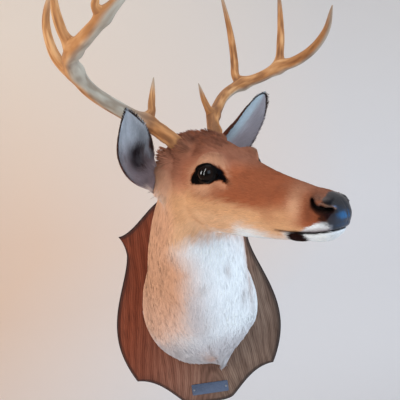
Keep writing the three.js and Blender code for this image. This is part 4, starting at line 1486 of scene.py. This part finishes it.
def plate_material(name, colour, brushed=True):
    n = Nodes(name)
    lines = n.noise(n.places((0.02, 1, 1) if brushed else (1, 1, 1)), 2600.0, 2.0)
    tarnish = n.noise(n.places(), 90.0, 3.0)
    shade = n.mixed(n.range(tarnish, 0.35, 0.7, 0.0, 0.5), rgba(*colour), rgba(92, 106, 132))
    n.surface(Base_Color=shade, Metallic=1.0, Roughness=n.range(lines, 0.3, 0.7, 0.24, 0.4))
    n.bump(lines, 0.12, 0.0002)
    return n.material


# ---------------------------------------------------------------- board and plate

BOARD_LOW, BOARD_HIGH = (np.array(c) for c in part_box("board"))
BOARD_FACE = BOARD_LOW[1]


BEND_POINTS = 26  # on each bend of the board's outline


def bezier(a, b, c, d):
    t = np.linspace(0, 1, BEND_POINTS, endpoint=False)[:, None]
    a, b, c, d = (np.array(p, float) for p in (a, b, c, d))
    return a * (1 - t) ** 3 + 3 * b * t * (1 - t) ** 2 + 3 * c * t * t * (1 - t) + d * t**3


def shield_outline():
    """The shield in millimetres: seven bends on one side, and their mirror on the other."""
    foot, crown, wide = BOARD_LOW[2] / MM, BOARD_HIGH[2] / MM, BOARD_HIGH[0] / MM
    bends = [
        ((0, foot), (22, foot), (40, foot), (50, -206)),
        ((50, -206), (72, -188), (98, -151), (142, -149)),
        ((142, -149), (156, -125), (wide, -90), (wide, -55)),
        ((wide, -55), (wide + 1, 10), (133, 66), (127, 112)),
        ((127, 112), (127, 128), (132, 143), (139, 153)),
        ((139, 153), (112, 155), (84, 190), (58, 208)),
        ((58, 208), (40, 222), (18, crown), (0, crown)),
    ]
    right = np.vstack([bezier(*bend) for bend in bends] + [np.array([(0.0, crown)])])
    left = right[1:-1][::-1] * (-1, 1)
    return np.vstack([right, left])


def build_board():
    outline = shield_outline()
    deep = -BOARD_FACE / MM
    # From the wall to the face: how far out, how far in from the outline, and how dark the edge.
    moulding = [(0, 1.6, 0.8), (0.5, 0.5, 0.9), (1.6, 0.1, 0.8), (11.6, 0.1, 0.8), (12.2, 0.5, 0.9),
                (12.6, 1.6, 1.0), (13.2, 2.2, 1.0), (15.0, 2.6, 0.8), (16.8, 3.6, 0.7),
                (18.2, 5.0, 0.7), (19.2, 6.9, 0.6), (deep - 0.2, 8.6, 0.5), (deep, 9.4, 0.2),
                (deep, 22, 0), (deep, 60, 0), (deep, 110, 0)]
    inward, count = unit(-outline), len(outline)
    rings = [np.c_[outline + inward * inset, np.full(count, -out)] for out, inset, _ in moulding]
    points = np.vstack(rings)[:, [0, 2, 1]] * MM
    faces = tube_quads(len(moulding), count).tolist()
    faces.append(tuple(range(count))[::-1])
    faces.append(tuple((len(moulding) - 1) * count + i for i in range(count)))
    board = make_object("board_oak", points, faces)
    flip_outwards(board)
    set_values(board, "edge", np.repeat([dark for *_, dark in moulding], count))
    board.data.materials.append(wood_material())
    sharpen(board, 38)
    finish_piece(board, "wood", "board")


def build_plate():
    low, high = (np.array(c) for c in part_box("nameplate"))
    middle, size = (low + high) / 2, high - low
    shape = bmesh.new()
    bmesh.ops.create_cube(shape, size=1.0)
    for v in shape.verts:
        v.co = Vector(np.array(v.co) * size + middle)
    upright = [e for e in shape.edges if abs(e.verts[0].co.y - e.verts[1].co.y) > size[1] * 0.5]
    bmesh.ops.bevel(shape, geom=upright, offset=2.2 * MM, segments=6, affect="EDGES", profile=0.5)
    front = [e for e in shape.edges if all(abs(v.co.y - low[1]) < 1e-6 for v in e.verts)]
    bmesh.ops.bevel(shape, geom=front, offset=0.4 * MM, segments=3, affect="EDGES", profile=0.5)
    mesh = bpy.data.meshes.new("plate")
    shape.to_mesh(mesh)
    shape.free()
    plate = bpy.data.objects.new("plate", mesh)
    bpy.context.scene.collection.objects.link(plate)
    mesh.polygons.foreach_set("use_smooth", np.full(len(mesh.polygons), True))
    sharpen(plate, 50)
    mesh.materials.append(plate_material("plate_metal", (106, 120, 144)))
    finish_piece(plate, "nameplate", "nameplate")


def build_pin(name, node):
    """A domed nail head."""
    low, high = (np.array(c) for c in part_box(node))
    middle, radius, height = (low + high) / 2, (high[0] - low[0]) / 2, high[1] - low[1]
    sides = 28
    # Shares of the radius and of the height, from the plate out to the top of the dome.
    profile = [(0.0, 0.0), (0.96, 0.0), (1.0, 0.12), (0.94, 0.3), (0.8, 0.55), (0.58, 0.8),
               (0.3, 0.95), (0.0, 1.0)]
    points = [(middle[0], high[1] - profile[0][1] * height, middle[2])]
    for reach, up in profile[1:-1]:
        for i in range(sides):
            a = 2 * math.pi * i / sides
            points.append((middle[0] + radius * reach * math.cos(a), high[1] - up * height,
                           middle[2] + radius * reach * math.sin(a)))
    points.append((middle[0], low[1], middle[2]))
    faces = []
    for i in range(sides):
        j = (i + 1) % sides
        faces.append((0, 1 + j, 1 + i))
        for r in range(len(profile) - 3):
            a = 1 + r * sides
            faces.append((a + i, a + j, a + sides + j, a + sides + i))
        last = 1 + (len(profile) - 3) * sides
        faces.append((last + i, last + j, len(points) - 1))
    pin = make_object(name, points, faces)
    pin.data.materials.append(plate_material(name + "_metal", (176, 182, 190), brushed=False))
    finish_piece(pin, "pins", node)


# ---------------------------------------------------------------- eyes


IRIS_BROWN = linear((26, 16, 12))
PUPIL_BLACK = linear((6, 5, 5))
LID_GAP = 0.2 * MM  # between the glass and the ball that the lids close on


def build_eye(name, node, side):
    low, high = (np.array(c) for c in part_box(node))
    middle = to_head(((low + high) / 2)[None])[0]
    points, faces = ball((0, 0, 0), (1, 1, 1), 64)
    gaze = unit(EYE_GAZE * (1, side, 1))
    ahead = unit(np.array((1.0, 0, 0)) - gaze * gaze[0])
    up = np.cross(gaze, ahead) * -side
    turn = np.stack([ahead, up, gaze])
    across, high_up = points[:, 0], points[:, 1]
    local = points * (EYE_RADIUS - LID_GAP)
    pupil = np.hypot(across / 0.44, high_up / 0.24)
    iris = np.hypot(across, high_up)
    colour = between(IRIS_BROWN, PUPIL_BLACK, 1 - ramp(pupil, 0.85, 1.1))
    colour = mix(colour, PUPIL_BLACK, ramp(iris, 0.55, 0.78))
    eye = make_object(name, from_head(middle + local @ turn), faces)
    set_colours(eye, "iris", colour)
    eye.data.materials.append(eye_material())
    flip_outwards(eye)
    finish_piece(eye, "eye", node)
    return eye


# ---------------------------------------------------------------- antlers

FORK_BLEND = 20 * MM
ANTLER_STEP = 1.8 * MM
ANTLER_SIDES = 34
CAD_SIDES = (7, 8)  # round the CAD's tines and beams


def welded(names):
    points, faces = node_arrays(names)
    keys, index = np.unique(np.round(points, 6), axis=0, return_inverse=True)
    return keys, index.ravel()[faces]


def ring_levels(node, start):
    """Middles and radii of a tube's rings, walking from the hub of the cap nearest a point."""
    points, faces = welded([node])
    edges = edges_of(faces)
    near = [[] for _ in points]
    for a, b in edges:
        near[a].append(b)
        near[b].append(a)
    hubs = [i for i in range(len(points)) if is_hub(i, near, points)]
    hub = min(hubs, key=lambda i: np.linalg.norm(points[i] - start))
    level, seen, middles, radii = [hub], {hub}, [], []
    size = len(near[hub])
    while True:
        level = sorted({j for i in level for j in near[i]} - seen)
        if len(level) != size:
            break
        seen |= set(level)
        ring = points[level]
        middle = ring.mean(0)
        middles.append(middle)
        radii.append(np.linalg.norm(ring - middle, axis=1).mean())
    return np.array(middles), np.array(radii)


def is_hub(i, near, points):
    """True at the middle of a flat end: its neighbours lie round it at one distance."""
    if len(near[i]) not in CAD_SIDES:
        return False
    d = np.array([points[j] - points[i] for j in near[i]])
    reach = np.linalg.norm(d, axis=1)
    return reach.max() < reach.min() * 1.25 and np.linalg.norm(d.sum(0)) < 0.15 * reach.sum()


# The bone starts inside the furred stump, where it is a little narrower: millimetres below the
# antler's seat and radii.
STUMP_SEATS = ((24, 11.5), (16, 11.6), (8, 11.7))
STUMP_RADIUS = 11.8 * MM


def beam_limb(side, names):
    """The beam's middles and radii, through its CAD pieces and down into the stump."""
    across = 1 if side == "left" else -1
    at = from_head(np.array((-83, 51 * across, 45.5))[None] * MM)[0]
    lines, sizes = [], []
    for name in names:
        middles, radii = ring_levels(name, at)
        lines.append(middles)
        sizes.append(radii)
        at = middles[-1]
    line, size = np.vstack(lines), np.concatenate(sizes)
    keep = np.r_[True, np.linalg.norm(np.diff(line, axis=0), axis=1) > 1.5 * MM]
    mirror = np.array((1, across, 1))
    seats = [(PEDICLE_TOP - PEDICLE_AXIS * deep * MM) * mirror for deep, _ in STUMP_SEATS]
    places = np.vstack([from_head(np.array(seats)), line[keep]])
    sizes = np.concatenate([np.array([radius for _, radius in STUMP_SEATS]) * MM, size[keep]])
    from_seat = np.linalg.norm(places - places[0], axis=1)
    return places, np.minimum(sizes, mix(STUMP_RADIUS, sizes, ramp(from_seat, 30 * MM, 60 * MM)))


def tine_limb(name, beam):
    """A tine's middles and radii from the nearest point of the beam to its tip."""
    low, high = (np.array(c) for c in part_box(name))
    tip = np.array(((low[0] + high[0]) / 2, (low[1] + high[1]) / 2, high[2] + 0.1))
    middles, radii = (values[::-1] for values in ring_levels(name, tip))
    foot = beam[np.argmin(np.linalg.norm(beam - middles[0], axis=1))]
    radii = np.concatenate([[radii[0] * 1.1], radii])
    share = np.linspace(0, 1, len(radii))
    swelling = 1 + 0.22 * ramp(share, 0.1, 0.3) * (1 - ramp(share, 0.6, 0.9))
    return np.vstack([foot, middles]), radii * swelling


def antler_limbs(side):
    """The beam, then the tines of one antler, as lines of points with radii."""
    names = sorted(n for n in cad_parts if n.startswith("antler_" + side))
    beam = beam_limb(side, [n for n in names if "_beam_" in n])
    return [beam] + [tine_limb(n, beam[0]) for n in names if "_beam_" not in n]


def swept(line, size, sides, step):
    """A tube round a smooth path: places, radii, outward directions, and distance along."""
    knots = distances_along(line)
    count = max(8, int(knots[-1] / step))
    path, ahead = smooth_path(line, count)
    share = np.linspace(0, 1, count)
    radius = np.interp(share, knots / knots[-1], size)
    radius = np.convolve(np.pad(radius, 4, mode="edge"), np.ones(9) / 9, "valid")
    radius[-6:] = np.interp(np.arange(6), [0, 5], [radius[-6], size[-1] * 0.8])
    side = unit(np.cross(ahead[0], (0.3, 0.2, 1.0)))
    frames = []
    for a in ahead:
        side = unit(side - a * (side @ a))
        frames.append((side, np.cross(a, side)))
    turn = np.arange(sides) / sides * 2 * math.pi
    first, second = (np.array([f[i] for f in frames]) for i in (0, 1))
    out = first[:, None] * np.cos(turn)[None, :, None] + second[:, None] * np.sin(turn)[None, :, None]
    return path, radius, out, share * knots[-1]


# Painted light on one side of each beam, in grey: the way that side faces low down and higher up, and how
# far the grey reaches round.
LIT_SIDES = {
    "right": ((0.5, -0.6, 0.6), (0.8, -0.2, -0.55), -0.9, -0.1),
    "left": ((0.3, 0, -0.95), (0.3, 0, -0.95), 0.25, 0.95),
}
FURTHER = {"right": 0.75, "left": 0.2}  # how much less of the beam is grey beyond its bend
STAINED = {"right": 0.0, "left": 0.1}  # how much browner the bone is all along


def fork_web(place, limbs, index):
    """How much a limb swells where it meets the beam, or the beam where it meets a tine."""
    web = np.zeros(place.shape[:2])
    for other, (line, size) in enumerate(limbs):
        if other == index or (index and other):
            continue
        smooth, _ = smooth_path(line, 120)
        knots = distances_along(line)
        distance, t = path_distance(place.reshape(-1, 3), smooth)
        gap = np.abs(distance - np.interp(t, knots / knots[-1], size)).reshape(web.shape)
        web += np.clip(1 - gap / FORK_BLEND, 0, 1) ** 3 * FORK_BLEND / 6 * 1.35
    return web


def pale_end_and_lit_side(share, out, side):
    """How grey the beam is: painted light on one side beyond the burr, and the pale end."""
    low_face, high_face, low, high = LIT_SIDES[side]
    face = unit(mix(np.array(low_face), np.array(high_face), ramp(share, 0.32, 0.5)))
    further = FURTHER[side] * ramp(share, 0.3, 0.42)
    lit = ramp((out * face[:, None]).sum(2) - further, low, high)
    return np.maximum(0.55 * ramp(share, 0.85, 1.0), lit * ramp(share, 0.12, 0.28))


def limb_mesh(limbs, index, side, seed):
    """One beam or tine: points, triangles, groove heights and how grey each point is."""
    beam = index == 0
    sides = ANTLER_SIDES if beam else ANTLER_SIDES - 8
    path, radius, out, along = swept(*limbs[index], sides, ANTLER_STEP)
    turn = np.arange(sides) / sides * 2 * math.pi
    # Grooves run along the beam and fade towards the tips; pearls crowd the burr.
    grain = np.stack(np.broadcast_arrays(np.cos(turn)[None] * 2.2, np.sin(turn)[None] * 2.2,
                                         along[:, None] / (26 * MM)), -1)
    grooves = layered(grain + index * 17.0, 3, seed)
    share = (along / along[-1])[:, None]
    fade = 1 - ramp(share, 0.35, 0.95)
    place = path[:, None] + out * radius[:, None, None]
    pearl = noise(place / (4.2 * MM), seed + 9)
    base = 44 * MM if beam else 12 * MM
    burr = bell(along - base * 0.5, 0.7 * base) * (1.0 if beam else 0.4)
    lift = 0.55 * MM * grooves * (0.25 + fade)
    lift += 1.3 * MM * np.maximum(pearl, 0) * burr[:, None]
    place = place + out * (lift + fork_web(place, limbs, index))[..., None]

    count = len(path)
    hub, last = count * sides, (count - 1) * sides
    tip = path[-1:] + (path[-1:] - path[-2:-1]) * 0.4
    points = np.vstack([place.reshape(-1, 3), path[:1], tip])
    faces = np.vstack([split_quads(tube_quads(count, sides)), fan(hub, 0, sides)[:, [0, 2, 1]],
                       fan(hub + 1, last, sides)])

    from_skull = np.linalg.norm(place - limbs[0][0][0], axis=2)
    stained = STAINED[side] + 0.4 * (1 - ramp(from_skull, 40 * MM, 120 * MM))
    streak = grooves * (0.4 + fade) - stained
    pale = pale_end_and_lit_side(share, out, side) if beam else 0.7 * ramp(share, 0.6, 1.0) * np.ones(sides)
    pale = np.clip(pale + 0.25 * grooves * pale, 0, 1)
    return points, faces, np.r_[streak.ravel(), 0, 0], np.r_[pale.ravel(), 0, 0.7]


def antler_mesh(side, seed):
    limbs = antler_limbs(side)
    made = [limb_mesh(limbs, index, side, seed) for index in range(len(limbs))]
    antler = make_object("antler_" + side, *joined([limb[:2] for limb in made]))
    set_values(antler, "streak", np.concatenate([limb[2] for limb in made]))
    set_values(antler, "pale", np.concatenate([limb[3] for limb in made]))
    return antler


def build_antlers():
    bone = antler_material()
    for side, seed in (("left", 60), ("right", 80)):
        antler = antler_mesh(side, seed)
        antler.data.materials.append(bone)
        nodes = [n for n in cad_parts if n.startswith("antler_" + side)]
        finish_piece(antler, "antler", *nodes)


# ---------------------------------------------------------------- camera, light and room

FULL_FRAME = 36.0  # millimetres across the camera's sensor
WALL_AWAY = 2.0
FLOOR_BELOW = 0.9
SWEEP = 0.6  # radius of the curve from the floor up to the wall
MOUNT_MIDDLE = (0.05, -0.2, 0.1)
# Name, place, size, power, colour, and whether gloss shows it.
LAMPS = (
    ("window", (2.1, -1.7, 0.9), (2.2, 2.0), 40, (0.80, 0.91, 1.0), False),
    ("ceiling", (0.0, -0.9, 2.4), (1.6, 1.6), 10, (1.0, 0.98, 0.95), True),
    ("lamp", (-1.5, -1.25, 0.5), (1.0, 1.0), 19, (1.0, 0.90, 0.78), False),
    ("fill", (0.5, -1.6, -0.85), (1.4, 1.4), 6, (1.0, 0.98, 0.96), False),
)


def soft_light(name, place, target, size, power, colour):
    data = bpy.data.lights.new(name, "AREA")
    data.shape = "RECTANGLE"
    data.size, data.size_y = size
    data.energy = power
    data.color = colour
    light = bpy.data.objects.new(name, data)
    light.location = place
    light.rotation_euler = (Vector(target) - Vector(place)).to_track_quat("-Z", "Y").to_euler()
    bpy.context.scene.collection.objects.link(light)
    return light


def set_up_camera():
    data = bpy.data.cameras.new("camera")
    data.lens = CAMERA_LENS
    data.sensor_width = FULL_FRAME
    camera = bpy.data.objects.new("camera", data)
    roll = math.radians(CAMERA_ROLL)
    right = Vector((math.cos(roll), 0.0, -math.sin(roll)))
    up = Vector((math.sin(roll), 0.0, math.cos(roll)))
    turn = Matrix((right, up, Vector((0.0, -1.0, 0.0)))).transposed()
    camera.matrix_world = Matrix.Translation(CAMERA_PLACE) @ turn.to_4x4()
    bpy.context.scene.collection.objects.link(camera)
    bpy.context.scene.camera = camera


def room_material():
    """A pale wall that goes from warm on the left to cool on the right, lighter higher up on the left and
    darker on the right: painted warm and cool light.
    """
    n = Nodes("room")
    place = n.axes()
    low = n.times(n.maths("MINIMUM", place["Z"], 0.0), -1.2)
    share = n.range(n.plus(place["X"], low), -0.9, 0.9)
    colour = n.mixed(share, rgba(236, 210, 190), rgba(222, 222, 225))
    above = n.mixed(share, rgba(246, 234, 220), rgba(211, 207, 204))
    colour = n.mixed(n.range(place["Z"], 0.1, 1.3, 0.0, 0.8), colour, above)
    n.surface(Base_Color=colour, Roughness=0.95, Specular_IOR_Level=0.1)
    return n.material


def set_up_room():
    """A floor that sweeps up into a wall well behind the mount, so that the back can be seen."""
    start = WALL_AWAY - SWEEP
    profile = [(-5.0, -FLOOR_BELOW), (start, -FLOOR_BELOW)]
    profile += [(start + SWEEP * math.sin(a), -FLOOR_BELOW + SWEEP * (1 - math.cos(a)))
                for a in np.linspace(0.15, math.pi / 2, 10)]
    profile.append((WALL_AWAY, 4.0))
    points = [(x, y, z) for y, z in profile for x in (-14.0, 14.0)]
    faces = [(2 * i, 2 * i + 1, 2 * i + 3, 2 * i + 2) for i in range(len(profile) - 1)]
    room = make_object("room", points, faces)
    room.data.materials.append(room_material())
    world = bpy.data.worlds.new("world")
    bpy.context.scene.world = world
    world.use_nodes = True
    background = world.node_tree.nodes["Background"]
    background.inputs["Color"].default_value = (0.93, 0.95, 1.0, 1.0)
    background.inputs["Strength"].default_value = 0.61
    for name, place, size, power, colour, in_gloss in LAMPS:
        light = soft_light(name, place, MOUNT_MIDDLE, size, power, colour)
        light.visible_glossy = in_gloss


def shine_only_on(light, *pieces):
    """Limits a lamp to the gloss of a few pieces."""
    chosen = bpy.data.collections.new(light.name + "_pieces")
    for piece in pieces:
        chosen.objects.link(piece)
    light.light_linking.receiver_collection = chosen
    light.light_linking.blocker_collection = chosen
    light.visible_diffuse = False


NEAR_EYE = Vector((0.06, -0.352, 0.243))
NOSE = (0.22, -0.46, 0.16)
GLINT_WIDTH = 0.035
# The two narrow panes that show in the near eye: top end, bottom end and power.
GLINTS = (
    ((-0.508, -0.539, 0.607), (-0.638, -0.313, 0.204), 9.0),
    ((-0.261, -0.813, 0.661), (-0.547, -0.671, 0.101), 8.5),
)


def set_up_reflections(skin, *eyes):
    """Two glints and a window in the eyes, and the window's sky on the wet nose."""
    for number, (top, bottom, power) in enumerate(GLINTS, 1):
        top, bottom = Vector(top), Vector(bottom)
        middle, size = (top + bottom) / 2, (GLINT_WIDTH, (top - bottom).length)
        pane = soft_light(f"glint_{number}", middle, NEAR_EYE, size, power, (1.0, 1.0, 1.0))
        out = (middle - NEAR_EYE).normalized()
        across = (top - bottom).cross(out).normalized()
        pane.rotation_euler = Matrix((across, out.cross(across), out)).transposed().to_euler()
        pane.visible_camera = False
        shine_only_on(pane, *eyes)
    window = soft_light("window_in_eye", (-0.03, -1.03, 0.29), NEAR_EYE, (0.30, 0.34), 2.6,
                        (0.6, 0.8, 1.0))
    window.visible_camera = False
    shine_only_on(window, *eyes)
    sky = soft_light("sky", (1.60, -1.15, -1.2), NOSE, (2.8, 4.4), 260, (0.03, 0.36, 1.0))
    shine_only_on(sky, skin)


# ---------------------------------------------------------------- assembly


def wrapped(sideways, ahead, along):
    """Places on a map: the bearing round the body, and the share of the way along it."""
    turn = np.arctan2(sideways, ahead)
    return np.stack([0.5 + turn / (2 * math.pi) * 0.98, np.clip(along, 0.01, 0.99)], 1)


def head_map(points):
    """Round the line from the nape to the nose, over 0.36 m of it."""
    head = to_head(points)
    return wrapped(head[:, 1], -(head[:, 2] + 35 * MM), (head[:, 0] + 0.14) / 0.36)


def neck_map(points):
    """Round an upright line inside the neck, over 0.5 m of height."""
    return wrapped(points[:, 0] - 0.02, -(points[:, 1] + 0.06), (points[:, 2] + 0.15) / 0.5)


HEAD_RINGS, NECK_RINGS = 2, 3  # rings in a tuft's length
NECK_FROM = 0.35  # the share of neck from which the tufts are the neck's


def build_coat(rng):
    """The tufts, and for the skin and each ear its points, triangles and coat."""
    points, triangles = build_skin()
    normals = vertex_normals(points, triangles)
    coat = skin_coat(points, normals)
    under = [(points, triangles, coat)]
    neck = coat["neck"][triangles].mean(1)
    face_roots = scattered(points, triangles, normals, coat, rng, neck < NECK_FROM)
    neck_roots = scattered(points, triangles, normals, coat, rng, neck >= NECK_FROM)
    pieces = split_roots("coat_head", face_roots, HEAD_RINGS, head_map, rng)
    pieces += split_roots("coat_neck", neck_roots, NECK_RINGS, neck_map, rng)
    for name, ear in EARS.items():
        points, faces, flat = ear_surface(**ear)
        points = from_head(points)
        normals = vertex_normals(points, faces)
        coat = ear_coat(points, normals, flat, ear["side"], EAR_SHADE[name])
        under.append((points, faces, coat))
        roots = scattered(points, faces, normals, coat, rng, np.ones(len(faces), bool))
        pieces += split_roots("coat_" + name, roots, HEAD_RINGS, head_map, rng)
    return pieces, under


def build_animal():
    """The coat, and the one skin under it that stands for all the flesh."""
    pieces, under = build_coat(np.random.default_rng(7))
    hair = coat_material()
    for piece in pieces:
        piece.data.materials.append(hair)
    skin = make_object("skin", *joined([part[:2] for part in under]))
    colours = np.vstack([coat["colour"] for *_, coat in under])
    set_colours(skin, "coat_colour", np.clip(colours, 0, 1))
    for key in ("bare", "wet"):
        set_values(skin, key, np.concatenate([coat[key] for *_, coat in under]))
    skin.data.materials.append(skin_material())
    finish_piece(skin, "coat", *FLESH)
    return skin


bpy.context.scene.view_settings.view_transform = "Standard"
set_up_camera()
set_up_room()
build_board()
build_plate()
build_pin("pin_right", "nameplate_pin_right")
build_pin("pin_left", "nameplate_pin_left")
eyes = [build_eye("eyeball_right", "eye_right", -1), build_eye("eyeball_left", "eye_left", 1)]
build_antlers()
set_up_reflections(build_animal(), *eyes)
